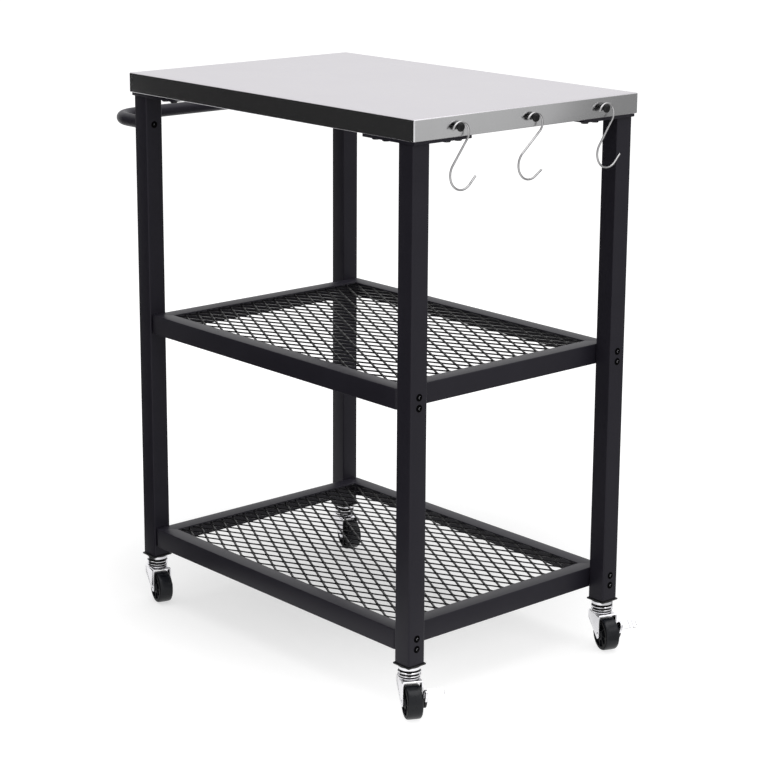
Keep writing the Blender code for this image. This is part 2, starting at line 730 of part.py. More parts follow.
def build_caster_stem(corner, root):
    """The fixed half of a caster: stem, cap, race ring, and a riveted king pin."""
    side_x, side_y = CORNERS[corner]
    cap_top = PLUG_UNDERSIDE - REST_GAP
    cap_base = cap_top - CASTER_CAP_HEIGHT
    race_base = CROWN_TOP + REST_GAP
    race_top = race_base + RACE_HEIGHT
    rivet_top = FORK_BRIDGE_HEIGHT - REST_GAP
    rivet_base = rivet_top - KING_PIN_HEAD_HEIGHT
    data = turned_mesh("caster_stem", [
        (0, cap_top + STEM_LENGTH),
        (STEM_RADIUS, cap_top + STEM_LENGTH),
        (STEM_RADIUS, cap_top),
        (RACE_RADIUS, cap_top),
        (RACE_RADIUS, cap_base),
        (RACE_GROOVE_RADIUS, cap_base),
        (RACE_GROOVE_RADIUS, race_top),
        (RACE_RADIUS, race_top - RACE_HEIGHT * 0.2),
        (RACE_RADIUS, race_base),
        (KING_PIN_RADIUS, race_base),
        (KING_PIN_RADIUS, rivet_top),
        (KING_PIN_HEAD_RADIUS, rivet_top),
        (KING_PIN_HEAD_RADIUS, rivet_base),
        (0, rivet_base),
    ])
    add_turned("caster_stem_" + corner, data, CHROME, STEM_STEPS, parent=root,
               location=(side_x * LEG_X, side_y * LEG_Y, 0))


def fork_outline():
    """The side of a fork: a level top, an upright front and a back that slants to the eye."""
    front = CASTER_TRAIL + FORK_EYE_RADIUS
    back = front - FORK_LENGTH
    shoulder = FORK_TOP - FORK_SHOULDER
    span = (CASTER_TRAIL - back, WHEEL_RADIUS - shoulder)
    slant = math.atan2(span[1], span[0]) - math.asin(FORK_EYE_RADIUS / math.hypot(*span))
    eye = arc_points((CASTER_TRAIL, WHEEL_RADIUS), FORK_EYE_RADIUS,
                     slant - math.pi / 2, 0, BEND_STEPS - 1)
    return [(back, FORK_TOP), (back, shoulder)] + eye + [(front, FORK_TOP)]


def build_fork(corner, swivel):
    name = "caster_fork_" + corner
    data = curve_as_mesh(name, outline_curve(name, [fork_outline()], 2 * FORK_OUTER_Y))
    fork = add_part(name, data, CHROME, parent=swivel, rotation=(math.pi / 2, 0, 0))
    crown = rods_mesh(name + "_crown", [(FORK_CROWN_RADIUS, (0, 0, FORK_TOP - FORK_WALL / 2),
                                         (0, 0, CROWN_TOP))], STEM_STEPS)
    add_boolean(fork, add_cutter(name + "_crown", crown, swivel), "UNION")
    reach = 2 * WHEEL_RADIUS
    slot = box_mesh(name + "_slot", (-reach, -FORK_INNER_Y, -reach),
                    (reach, FORK_INNER_Y, FORK_BRIDGE_HEIGHT))
    add_boolean(fork, add_cutter(name + "_slot", slot, swivel), "DIFFERENCE")
    holes = rods_mesh(name + "_holes", [
        (KING_PIN_RADIUS + HOLE_CLEARANCE, (0, 0, FORK_BRIDGE_HEIGHT - FORK_WALL),
         (0, 0, CROWN_TOP + FORK_WALL)),
        (AXLE_RADIUS + HOLE_CLEARANCE, (CASTER_TRAIL, -2 * FORK_OUTER_Y, WHEEL_RADIUS),
         (CASTER_TRAIL, 2 * FORK_OUTER_Y, WHEEL_RADIUS))], AXLE_STEPS)
    add_boolean(fork, add_cutter(name + "_holes", holes, swivel), "DIFFERENCE")


def wheel_profile():
    """A closed section of the wheel, from its left face round the tread and back."""
    half = WHEEL_WIDTH / 2
    bore = AXLE_RADIUS + HOLE_CLEARANCE
    shoulder = arc_points((WHEEL_RADIUS - WHEEL_SHOULDER, half - WHEEL_SHOULDER),
                          WHEEL_SHOULDER, math.pi / 2, 0, 1)
    upper = [(bore, half), (WHEEL_HUB_RADIUS, half), (WHEEL_HUB_RADIUS, half - WHEEL_RECESS),
             (WHEEL_RIM_RADIUS, half - WHEEL_RECESS), (WHEEL_RIM_RADIUS, half)] + shoulder
    lower = [(radius, -height) for radius, height in reversed(upper)]
    return upper + lower


def build_wheel(corner, axle):
    data = turned_mesh("caster_wheel", wheel_profile(), closed=True)
    add_turned("caster_wheel_" + corner, data, WHEEL_BLACK, WHEEL_STEPS, parent=axle,
               rotation=(math.pi / 2, 0, 0))


def build_axle(corner, axle):
    """An axle bolt with a head at each side, longer where it also carries a brake."""
    far = FORK_OUTER_Y + REST_GAP
    near = far
    if corner in BRAKED_CASTERS:
        near = FORK_OUTER_Y + REST_GAP + BRAKE_PLATE + REST_GAP
    data = turned_mesh("caster_axle_" + corner, [
        (0, far + AXLE_HEAD_HEIGHT),
        (AXLE_HEAD_RADIUS * 0.8, far + AXLE_HEAD_HEIGHT),
        (AXLE_HEAD_RADIUS, far + AXLE_HEAD_HEIGHT * 0.6),
        (AXLE_HEAD_RADIUS, far),
        (AXLE_RADIUS, far),
        (AXLE_RADIUS, -near),
        (AXLE_HEAD_RADIUS, -near),
        (AXLE_HEAD_RADIUS, -near - AXLE_HEAD_HEIGHT),
        (0, -near - AXLE_HEAD_HEIGHT),
    ])
    add_turned("caster_axle_" + corner, data, CHROME, AXLE_STEPS, parent=axle,
               rotation=(math.pi / 2, 0, 0))


def build_brake(corner, axle):
    """A side brake: a plate that turns on the axle, with a foot tab turned outwards."""
    end = (BRAKE_ARM_LENGTH * math.cos(BRAKE_ARM_ANGLE),
           BRAKE_ARM_LENGTH * math.sin(BRAKE_ARM_ANGLE))
    flare = math.asin((BRAKE_HUB_RADIUS - BRAKE_ARM_RADIUS) / BRAKE_ARM_LENGTH)
    side = math.pi / 2 - flare
    hub = arc_points((0, 0), BRAKE_HUB_RADIUS, BRAKE_ARM_ANGLE + side,
                     BRAKE_ARM_ANGLE - side + 2 * math.pi, 8)
    tip = arc_points(end, BRAKE_ARM_RADIUS, BRAKE_ARM_ANGLE - side, BRAKE_ARM_ANGLE + side, 5)
    name = "brake_lever_" + corner
    data = curve_as_mesh(name, outline_curve(name, [hub + tip], BRAKE_PLATE))
    inner = FORK_OUTER_Y + REST_GAP
    data.transform(Matrix.Rotation(math.pi / 2, 4, "X"))
    data.transform(Matrix.Translation((0, inner + BRAKE_PLATE / 2, 0)))
    lever = add_part(name, data, CHROME, parent=axle)
    half = BRAKE_TAB_WIDTH / 2
    tab = box_mesh(name + "_tab", (-half, inner, -BRAKE_PLATE / 2),
                   (half, inner + BRAKE_PLATE + BRAKE_TAB_LENGTH, BRAKE_PLATE / 2))
    across = BRAKE_ARM_ANGLE - math.pi / 2
    tab.transform(Matrix.Rotation(-across, 4, "Y"))
    tab.transform(Matrix.Translation((end[0], 0, end[1])))
    add_boolean(lever, add_cutter(name + "_tab", tab, axle), "UNION")
    hole = rods_mesh(name + "_hole", [(AXLE_RADIUS + HOLE_CLEARANCE, (0, 0, 0),
                                       (0, 2 * inner, 0))], AXLE_STEPS)
    add_boolean(lever, add_cutter(name + "_hole", hole, axle), "DIFFERENCE")


def build_caster(corner, root):
    side_x, side_y = CORNERS[corner]
    build_caster_stem(corner, root)
    swivel = add_empty("swivel_" + corner, root, (side_x * LEG_X, side_y * LEG_Y, 0),
                       CASTER_HEADINGS[corner])
    build_fork(corner, swivel)
    axle = add_empty("axle_" + corner, swivel, (CASTER_TRAIL, 0, WHEEL_RADIUS))
    build_wheel(corner, axle)
    build_axle(corner, axle)
    if corner in BRAKED_CASTERS:
        build_brake(corner, axle)


# The whole cart

def extents(collection):
    """The low and high corners of all parts in a collection, as they are evaluated."""
    bpy.context.view_layer.update()
    graph = bpy.context.evaluated_depsgraph_get()
    corners = []
    for part in collection.objects:
        seen = part.evaluated_get(graph)
        data = seen.to_mesh()
        corners.extend(seen.matrix_world @ vertex.co for vertex in data.vertices)
        seen.to_mesh_clear()
    low = Vector([min(corner[axis] for corner in corners) for axis in range(3)])
    high = Vector([max(corner[axis] for corner in corners) for axis in range(3)])
    return low, high


def build_cart():
    root = add_empty("cart_root", None, (0, 0, 0))
    build_top(root)
    for corner in CORNERS:
        build_plate(corner, root)
        build_leg(corner, root)
        build_plug(corner, root)
        build_caster(corner, root)
    for shelf in SHELF_TOPS:
        build_shelf_frame(shelf, root)
        build_shelf_net(shelf, root)
    build_shelf_bolts(root)
    build_handle(root)
    build_handle_bolts(root)
    build_pegs(root)
    build_hooks(root)
    low, high = extents(PARTS)
    root.location = (-(low.x + high.x) / 2, -(low.y + high.y) / 2, -low.z)


build_cart()
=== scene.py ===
# %% [markdown]
# # A rolling grill cart
#
# The cart has a folded stainless top on four square legs, two framed shelves of expanded metal,
# a push handle, three pegs with S-hooks, and four swivel casters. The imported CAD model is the
# frame: every piece below takes its place from it, and only adds the roundings, the real net,
# the small hardware and the finishes that a plain solid leaves out.

import math

import bmesh
import bpy
from mathutils import Matrix, Vector


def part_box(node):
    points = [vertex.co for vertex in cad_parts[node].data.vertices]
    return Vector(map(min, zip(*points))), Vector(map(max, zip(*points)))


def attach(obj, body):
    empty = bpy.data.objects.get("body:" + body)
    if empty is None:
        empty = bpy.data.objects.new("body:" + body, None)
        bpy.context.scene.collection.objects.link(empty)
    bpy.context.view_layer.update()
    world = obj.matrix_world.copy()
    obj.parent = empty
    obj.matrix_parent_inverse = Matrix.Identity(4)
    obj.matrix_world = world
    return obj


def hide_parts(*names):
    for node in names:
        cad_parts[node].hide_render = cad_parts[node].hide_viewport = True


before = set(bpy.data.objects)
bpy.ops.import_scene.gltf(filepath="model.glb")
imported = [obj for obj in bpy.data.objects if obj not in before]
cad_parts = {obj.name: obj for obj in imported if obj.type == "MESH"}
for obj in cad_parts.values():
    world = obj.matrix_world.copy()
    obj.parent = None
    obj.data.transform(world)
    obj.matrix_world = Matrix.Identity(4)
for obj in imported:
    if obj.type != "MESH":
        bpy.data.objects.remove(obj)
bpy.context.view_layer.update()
MM = 0.001

# %% [markdown]
# The top is centred on the cart's middle line, while the whole cart isn't, because the handle
# reaches further out than the pegs. So sizes are read from the CAD boxes, and the middle of
# the top is the origin that the pieces below are measured from.

# %% Sizes read from the frame
CORNERS = {"front": (1, -1), "right": (1, 1), "left": (-1, -1), "back": (-1, 1)}
SHELVES = ("mid", "low")
REST_GAP = 0.3 * MM


def mm(*lengths):
    """Lengths in millimetres as metres."""
    return [length * MM for length in lengths]


def measured(node):
    """A CAD node's lowest and highest corners, its centre and half of its size."""
    low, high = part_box(node)
    return low, high, (low + high) / 2, (high - low) / 2


top_low, top_high, MIDDLE, HALF_TOP = measured("top_sheet")
MIDDLE.z = 0
leg_centres = {corner: measured("leg_tube_" + corner)[2] for corner in CORNERS}
print("half of the top", HALF_TOP, "front leg at", leg_centres["front"])

# %% [markdown]
# ## Small helpers for meshes
#
# Most of the cart is folded sheet, tube and turned metal. Three ways of skinning cover them:
# a loft through rings of points, a profile turned about an axis, and a wire swept along a
# route. Each gives back a bmesh, or adds to one, so that several bodies can share one mesh.
# Faces are turned outwards at the end, and edges sharper than a set angle stay sharp in the
# shading.

# %% Finish a mesh and hand it to the frame
SHARP = math.radians(35)


def link(name, data):
    """A new object in the scene that holds some data."""
    made = bpy.data.objects.new(name, data)
    bpy.context.scene.collection.objects.link(made)
    return made


def mesh_of(name, work):
    """Close a bmesh as mesh data with outward faces and smooth shading."""
    bmesh.ops.recalc_face_normals(work, faces=work.faces)
    data = bpy.data.meshes.new(name)
    work.to_mesh(data)
    work.free()
    data.shade_smooth()
    data.set_sharp_from_angle(angle=SHARP)
    return data


def opened(data, place=Matrix()):
    """Mesh data as a bmesh again, moved to its place."""
    work = bmesh.new()
    work.from_mesh(data)
    work.transform(place)
    return work


def add_piece(name, work, finishes, body, stands_for=(), painted=None):
    """Link a bmesh as a piece that rides on a body and stands for CAD nodes.

    Where a piece has several finishes, painted gives the number of each face's finish."""
    data = mesh_of(name, work)
    for finish in finishes:
        data.materials.append(finish)
    if painted:
        for face in data.polygons:
            face.material_index = painted(face)
    piece = link(name, data)
    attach(piece, body)
    if stands_for:
        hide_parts(*stands_for)
    print(name, len(data.polygons), "faces, on", body)


# %% [markdown]
# Points come as pairs in millimetres, a full turn of angles, an arc, or a rectangle with
# rounded corners. A loft joins each ring to the next with four-sided faces. A ring of one
# point is a pole, and its faces are triangles.

# %% Rings, arcs and lofts
def in_mm(*pairs):
    """Pairs of millimetres as pairs of metres."""
    return [(first * MM, second * MM) for first, second in pairs]


def around(steps):
    """The angles of one full turn."""
    return [2 * math.pi * index / steps for index in range(steps)]


def arc(centre, radius, start, end, steps):
    """Points of an arc in a plane, both ends included, with angles in degrees."""
    angles = [math.radians(start + (end - start) * step / steps) for step in range(steps + 1)]
    return [(centre[0] + radius * math.cos(angle), centre[1] + radius * math.sin(angle))
            for angle in angles]


def plan_ring(centre, half, inset, radius, height, steps=4):
    """A rectangle with rounded corners at one height, inset from half of its full size."""
    ring = []
    for quarter, (side_x, side_y) in enumerate(((1, 1), (-1, 1), (-1, -1), (1, -1))):
        middle = (centre.x + side_x * (half.x - inset - radius),
                  centre.y + side_y * (half.y - inset - radius))
        ring += [Vector((x, y, height))
                 for x, y in arc(middle, radius, 90 * quarter, 90 * (quarter + 1), steps)]
    return ring


def loft(rings, closed=False, work=None):
    """Skin a row of rings; an open row gets a cap at each end that isn't a pole."""
    if work is None:
        work = bmesh.new()
    loops = [[work.verts.new(point) for point in ring] for ring in rings]
    pairs = list(zip(loops, loops[1:]))
    if closed:
        pairs.append((loops[-1], loops[0]))
    else:
        for end in (loops[0], loops[-1]):
            if len(end) > 1:
                work.faces.new(end)
    for first, second in pairs:
        for index in range(max(len(first), len(second))):
            corners = (first[index % len(first)], first[(index + 1) % len(first)],
                       second[(index + 1) % len(second)], second[index % len(second)])
            work.faces.new(list(dict.fromkeys(corners)))
    return work


# %% Turned, swept and flat shapes
def turn(profile, steps, place=Matrix(), closed=False, work=None):
    """Turn a profile of (radius, height) about Z; a radius of zero becomes a pole."""
    rings = [[place @ Vector((radius * math.cos(angle), radius * math.sin(angle), height))
              for angle in around(steps if radius > 0 else 1)] for radius, height in profile]
    return loft(rings, closed, work)


def dome(radius, foot, height, angles):
    """Profile points of a rounded cap, with angles in degrees from its top."""
    return [(radius * math.sin(math.radians(angle)), foot + height * math.cos(math.radians(angle)))
            for angle in angles]


def sweep(route, radius, sides, round_ends=0.0):
    """Skin a round wire along a route of points, its ends rounded over if asked."""
    route = [Vector(point) for point in route]
    last = len(route) - 1
    rows = [(point, (route[min(i + 1, last)] - route[max(i - 1, 0)]).normalized(), radius)
            for i, point in enumerate(route)]
    if round_ends > 0:
        (start, leave, _), (end, arrive, _) = rows[0], rows[-1]
        rows[0] = (start + leave * round_ends, leave, radius)
        rows[-1] = (end - arrive * round_ends, arrive, radius)
        for lift, narrow in ((0.6, 0.85), (1.0, 0.45)):
            rows.insert(0, (rows[0][0].lerp(start, lift), leave, radius * narrow))
            rows.append((rows[-1][0].lerp(end, lift), arrive, radius * narrow))
    before = rows[0][1]
    across = before.orthogonal().normalized()
    rings = []
    for point, tangent, reach in rows:
        across = before.rotation_difference(tangent) @ across
        across = (across - tangent * across.dot(tangent)).normalized()
        beside = tangent.cross(across)
        before = tangent
        rings.append([point + reach * (math.cos(angle) * across + math.sin(angle) * beside)
                      for angle in around(sides)])
    return loft(rings)


def tube(section, centre, half, corner, least, steps, closed=True):
    """Loft a section of (inset, height) round a rectangle, its corners tighter further in."""
    return loft([plan_ring(centre, half, inset, max(corner - inset, least), height, steps)
                 for inset, height in section], closed)


def slab(outline, low, high, rounding):
    """A flat plate with an outline in plan and slightly rounded edges all round."""
    work = loft([[(x, y, level) for x, y in outline] for level in (low, high)])
    bmesh.ops.bevel(work, geom=list(work.edges), offset=rounding, segments=2, profile=0.5,
                    affect="EDGES")
    return work


# %% [markdown]
# ## One way to write node trees
#
# Materials and Geometry Nodes share the same Math nodes, so one pair of small classes serves
# both. A `Wire` is a socket that understands plus, minus, times and remainder, and
# `Sheet.node` adds any other node from its type, the values or wires of its sockets, and its
# settings, which are set first.

# %% Wires and sheets
class Wire:
    """A value in a node tree that arithmetic can be done on."""

    def __init__(self, sheet, socket):
        self.sheet = sheet
        self.socket = socket

    def maths(self, operation, first, second=0.0):
        return self.sheet.node("ShaderNodeMath", {0: first, 1: second}, operation=operation)

    def pick(self, name):
        """Another output of the node that this wire comes from."""
        return Wire(self.sheet, self.socket.node.outputs[name])

    def __add__(self, other):
        return self.maths("ADD", self, other)

    def __sub__(self, other):
        return self.maths("SUBTRACT", self, other)

    def __rsub__(self, other):
        return self.maths("SUBTRACT", other, self)

    def __mul__(self, other):
        return self.maths("MULTIPLY", self, other)

    def __mod__(self, other):
        return self.maths("FLOORED_MODULO", self, other)

    def __rmod__(self, other):
        return self.maths("FLOORED_MODULO", other, self)

    __radd__ = __add__
    __rmul__ = __mul__

    def floor(self):
        return self.maths("FLOOR", self)


class Sheet:
    """A node tree that grows by one method."""

    def __init__(self, tree):
        self.tree = tree

    def join(self, value, socket):
        if isinstance(value, Wire):
            self.tree.links.new(value.socket, socket)
        else:
            socket.default_value = value

    def node(self, kind, sockets=None, output=0, **settings):
        made = self.tree.nodes.new(kind)
        for name, value in settings.items():
            setattr(made, name, value)
        for key, value in (sockets or {}).items():
            self.join(value, made.inputs[key])
        return Wire(self, made.outputs[output])

    def vector(self, x=0.0, y=0.0, z=0.0):
        return self.node("ShaderNodeCombineXYZ", {0: x, 1: y, 2: z})


# %% [markdown]
# ## Finishes
#
# Every finish starts from a Principled shader. What changes over a surface goes only into
# colour, roughness and the normal. Patterns read Object coordinates, which are metres here,
# so a Mapping scale of 1000 gives a grain of about a millimetre.

# %% A finish and its grain
class Finish(Sheet):
    """A material with its Principled shader, and shortcuts for grain and relief."""

    def __init__(self, name, metallic=0.0, specular=0.5):
        self.material = bpy.data.materials.new(name)
        self.material.use_nodes = True
        super().__init__(self.material.node_tree)
        self.shader = self.tree.nodes["Principled BSDF"]
        self.feed(Metallic=metallic, Specular_IOR_Level=specular)

    def grain(self, sizes, detail=2.0, roughness=0.5, shift=(0, 0, 0)):
        """Noise in object space, from 0 to 1, with one grain size or one for each axis."""
        if not isinstance(sizes, list):
            sizes = [sizes] * 3
        place = self.node("ShaderNodeTexCoord", output="Object")
        mapped = self.node("ShaderNodeMapping", {
            "Vector": place, "Scale": [1 / size for size in sizes], "Location": shift},
            vector_type="POINT")
        return self.node("ShaderNodeTexNoise", {
            "Vector": mapped, "Scale": 1.0, "Detail": detail, "Roughness": roughness}, "Fac",
            noise_dimensions="3D")

    def between(self, factor, low, high):
        """Stretch a value between two numbers and keep it there."""
        return self.node("ShaderNodeMapRange", {"Value": factor, 3: low, 4: high}, clamp=True)

    def colours(self, factor, first, second):
        """Mix two colours by a value."""
        return self.node("ShaderNodeMix", {0: factor, 6: (*first, 1), 7: (*second, 1)}, 2,
                         data_type="RGBA")

    def feed(self, **sockets):
        for name, value in sockets.items():
            self.join(value, self.shader.inputs[name.replace("_", " ")])

    def relief(self, height, strength, depth):
        self.feed(Normal=self.node("ShaderNodeBump", {
            "Height": height, "Strength": strength, "Distance": depth}))


# %% [markdown]
# The top is brushed steel: fine straight scratches that run along the deck, and along each
# skirt. Two noises stretched along the brushing give them, one finer than the eye sees at arm's
# length and one as wide as a pencil line, with slow smudges that change only the roughness.
# The end skirts have their own copy of the finish, because their scratches run the other way.

# %% Brushed steel
def brushed_steel(name, along, bright, dull, band_width, smooth, rough):
    """Steel with scratches along one axis, 0 for X and 1 for Y."""
    finish = Finish(name, metallic=1.0)

    def stretched(length, width):
        sizes = [width] * 3
        sizes[along] = length
        return sizes

    fine = finish.grain(stretched(40 * MM, 0.25 * MM))
    broad = finish.grain(stretched(160 * MM, 1.6 * MM), 3.0, shift=(3.1, 1.7, 0.4))
    smudge = finish.grain(90 * MM, 3.0, 0.55, shift=(0.3, 0.9, 0.2))
    # A slow noise along the brushing shifts the colour: a broad tone on the deck, and on the
    # skirts upright stripes of painted reflection.
    tone_and_reflection_bands = finish.grain(stretched(band_width, 400 * MM), 1.0, shift=(5.0, 2.0, 1.0))
    streak = fine * 0.45 + broad * 0.55
    finish.feed(Base_Color=finish.colours(streak * 0.35 + tone_and_reflection_bands * 0.65, dull, bright),
                Roughness=finish.between(streak * 0.6 + smudge * 0.4, smooth, rough))
    finish.relief(streak, 0.10, 0.05 * MM)
    return finish.material


DECK_STEEL = brushed_steel("steel_deck", 0, (0.615, 0.593, 0.629), (0.565, 0.544, 0.579),
                           700 * MM, 0.20, 0.40)
SIDE_STEEL = brushed_steel("steel_sides", 0, (0.655, 0.650, 0.662), (0.590, 0.590, 0.600),
                           90 * MM, 0.12, 0.22)
END_STEEL = brushed_steel("steel_ends", 1, (0.655, 0.650, 0.662), (0.560, 0.565, 0.565),
                          60 * MM, 0.14, 0.26)
print("the deck's scratches run along X, the end skirts' along Y")

# %% [markdown]
# The frame is powder coated: nearly black, satin, with the faint orange peel that powder
# leaves when it melts. Its colour wanders a little, and thin dust dulls the broad faces.

# %% Powder coat and black hardware
def powder_coat(name, colour, dusty, peel, smooth, rough, specular):
    """Black powder over steel, with orange peel of a set size."""
    finish = Finish(name, specular=specular)
    orange_peel = finish.grain(peel)
    cloud = finish.grain(60 * MM, 4.0, 0.6, shift=(1.0, 4.0, 2.0))
    speck = finish.grain(0.45 * MM, 1.0, shift=(2.0, 0.5, 3.0))
    finish.feed(Base_Color=finish.colours(cloud * 0.7 + speck * 0.3, colour, dusty),
                Roughness=finish.between(cloud * 0.6 + orange_peel * 0.4, smooth, rough))
    finish.relief(orange_peel * 0.8 + speck * 0.2, 0.16, 0.12 * MM)
    return finish.material


POWDER_BLACK = powder_coat("powder_black", (0.0170, 0.0152, 0.0225), (0.0305, 0.0283, 0.0390),
                           1.4 * MM, 0.34, 0.50, 0.19)
NET_BLACK = powder_coat("net_black", (0.0060, 0.0056, 0.0072), (0.0120, 0.0112, 0.0140),
                        0.9 * MM, 0.28, 0.44, 0.50)
BOLT_BLACK = powder_coat("bolt_black", (0.0035, 0.0033, 0.0040), (0.0080, 0.0078, 0.0090),
                         0.6 * MM, 0.16, 0.28, 0.24)
print("three blacks, from satin on the frame to glossy on the bolts")

# %% [markdown]
# The casters and hooks are plated: zinc over stamped steel on the forks, a brighter nickel on
# the wire hooks, and a dark grey on the small domes of the leg bolts, which is a painted
# highlight on heads that are black. Plating hides the brushing but keeps faint dull clouds.

# %% Plated steel
def plated(name, bright, dull, smooth, rough):
    """Thin bright metal with dull clouds."""
    finish = Finish(name, metallic=1.0)
    cloud = finish.grain(9 * MM, 3.0, 0.55)
    fine = finish.grain(0.5 * MM, shift=(1.0, 2.0, 0.0))
    finish.feed(Base_Color=finish.colours(cloud, dull, bright),
                Roughness=finish.between(cloud * 0.6 + fine * 0.4, smooth, rough))
    finish.relief(fine, 0.05, 0.02 * MM)
    return finish.material


CASTER_ZINC = plated("caster_zinc", (0.86, 0.855, 0.88), (0.76, 0.755, 0.78), 0.10, 0.26)
HOOK_NICKEL = plated("hook_nickel", (0.50, 0.495, 0.50), (0.35, 0.345, 0.35), 0.06, 0.15)
PAINTED_HIGHLIGHT_DOME = plated("dome_grey", (0.145, 0.143, 0.152), (0.110, 0.109, 0.116), 0.14, 0.28)
print("three platings")

# %% [markdown]
# Four dull blacks finish the list: the satin treads of the wheels with their fine moulding
# texture, a deeper black on the sides of the wheels that is painted shade, the flat plastic of
# the plugs in the leg ends, which also paints shade into the neck and groove of each caster
# stem and crown, and a deep black that is painted shade in a ring round each leg bolt's dome.

# %% Plastics and painted shade
def plastic(name, colour, worn, texture, smooth, rough, specular, depth):
    """Moulded plastic with a fine pebble and scuffs."""
    finish = Finish(name, specular=specular)
    pebble = finish.grain(texture)
    scuff = finish.grain(7 * MM, 4.0, 0.6, shift=(4.0, 0.0, 1.0))
    finish.feed(Base_Color=finish.colours(scuff, colour, worn),
                Roughness=finish.between(scuff * 0.7 + pebble * 0.3, smooth, rough))
    finish.relief(pebble, 0.12, depth)
    return finish.material


WHEEL_BLACK = plastic("wheel_black", (0.0048, 0.0055, 0.0078), (0.0108, 0.0126, 0.0180),
                      0.7 * MM, 0.20, 0.38, 0.28, 0.08 * MM)
WHEEL_SIDE_SHADE = plastic("hub_black", (0.0030, 0.0030, 0.0036), (0.0065, 0.0065, 0.0076),
                    0.7 * MM, 0.40, 0.58, 0.10, 0.04 * MM)
PLUG_BLACK_AND_GROOVE_SHADE = plastic("plug_black", (0.0070, 0.0065, 0.0075), (0.0120, 0.0110, 0.0120),
                     0.5 * MM, 0.42, 0.60, 0.35, 0.05 * MM)
PAINTED_SHADE_BLACK = plastic("gap_black", (0.0012, 0.0011, 0.0013), (0.0022, 0.0020, 0.0024),
                    0.5 * MM, 0.60, 0.80, 0.02, 0.02 * MM)
print("finishes:", len(bpy.data.materials))

# %% [markdown]
# ## The folded top
#
# The real top is one blank of steel folded down on four sides and in again underneath. A loft
# of rounded rectangles follows the sheet's whole section: across the deck, round the bend,
# down the skirt, round the hem, in along the return flange, and back up inside. That keeps
# one even thickness, and the bends get the small radius that catches the light as a thin line.

# %% Build the top
SHEET, BEND, FOLD_CORNER, LEAST_CORNER = mm(1.2, 1.6, 0.5, 0.25)
DECK_INSET, DECK_CORNER, RETURN_FLANGE, FLANGE_CORNER = mm(12, 2, 28, 1)
BEND_STEPS = 5
SQUARE_ON = 0.8


def skirt_ring(outset, height, radius):
    """A ring that stands in from the top's outer faces by a distance."""
    return plan_ring(MIDDLE, HALF_TOP, outset, radius, height)


def bend_rings(radius, middle_z, start, end):
    """Rings round a bend whose middle line lies BEND in from the outer faces."""
    return [skirt_ring(BEND - x, middle_z + z, max(FOLD_CORNER + x, LEAST_CORNER))
            for x, z in arc((0, 0), radius, start, end, BEND_STEPS)]


def steel_for(face):
    """Deck, long skirt or end skirt, by the way a face looks."""
    return 1 if abs(face.normal.y) > SQUARE_ON else 2 if abs(face.normal.x) > SQUARE_ON else 0


upper_bend, lower_bend, inner_bend = top_high.z - BEND, top_low.z + BEND, BEND - SHEET
add_piece("work_top", loft([
    skirt_ring(DECK_INSET, top_high.z, DECK_CORNER),
    *bend_rings(BEND, upper_bend, 90, 0),
    *bend_rings(BEND, lower_bend, 0, -90),
    skirt_ring(RETURN_FLANGE, top_low.z, FLANGE_CORNER),
    skirt_ring(RETURN_FLANGE, top_low.z + SHEET, FLANGE_CORNER),
    *bend_rings(inner_bend, lower_bend, -90, 0),
    *bend_rings(inner_bend, upper_bend, 0, 90),
    skirt_ring(DECK_INSET, top_high.z - SHEET, DECK_CORNER)]),
    (DECK_STEEL, SIDE_STEEL, END_STEEL), "cart", ["top_sheet"], steel_for)

# %% [markdown]
# ## Legs, plugs and corner plates
#
# The legs are square tube with a 2 mm corner, which shows as a soft lighter line down each
# edge. Each is a loft that runs up the outside and down the bore, so the tube is really
# hollow. A plastic plug with a thin flange closes the foot, and a bevelled plate with four
# hexagon bolts ties the leg to the flange of the top. The plates are a little thicker here
# than in the CAD model, so the legs end lower by as much.

# %% Legs and plugs
LEG_WALL, LEG_CORNER, BORE_CORNER, LEG_EDGE, ROOM_FOR_PLATE = mm(1.5, 2.2, 0.8, 0.3, 1.5)
PLUG_LIP, PLUG_CORNER, PLUG_EDGE, PLUG_LEAD = mm(2, 1.6, 0.3, 1)
for name in CORNERS:
    low, high, centre, half = measured("leg_tube_" + name)
    top = high.z - ROOM_FOR_PLATE
    section = ((LEG_EDGE, low.z), (0, low.z + LEG_EDGE), (0, top - LEG_EDGE), (LEG_EDGE, top),
               (LEG_WALL, top), (LEG_WALL, low.z))
    add_piece("leg_" + name, tube(section, centre, half, LEG_CORNER, BORE_CORNER, 6),
              (POWDER_BLACK,), "cart", ["leg_tube_" + name])

    foot, tip, _, half = measured("leg_plug_" + name)
    seat = low.z - REST_GAP
    tongue = PLUG_LIP + LEG_WALL + REST_GAP
    section = ((1.2 * MM, foot.z), (PLUG_EDGE, foot.z + 0.4 * MM), (0, foot.z + 0.9 * MM),
               (0, seat - PLUG_EDGE), (PLUG_EDGE, seat), (tongue, seat),
               (tongue, tip.z - PLUG_LEAD), (tongue + PLUG_LEAD, tip.z))
    add_piece("plug_" + name, tube(section, centre, half, PLUG_CORNER, PLUG_CORNER, 4, False),
              (PLUG_BLACK_AND_GROOVE_SHADE,), "cart", ["leg_plug_" + name])

# %% [markdown]
# A corner plate is a cut-off square of thick sheet that lies under the return flange. Its
# bolts are counted here, in plan from the plate's corner, and are made further down.

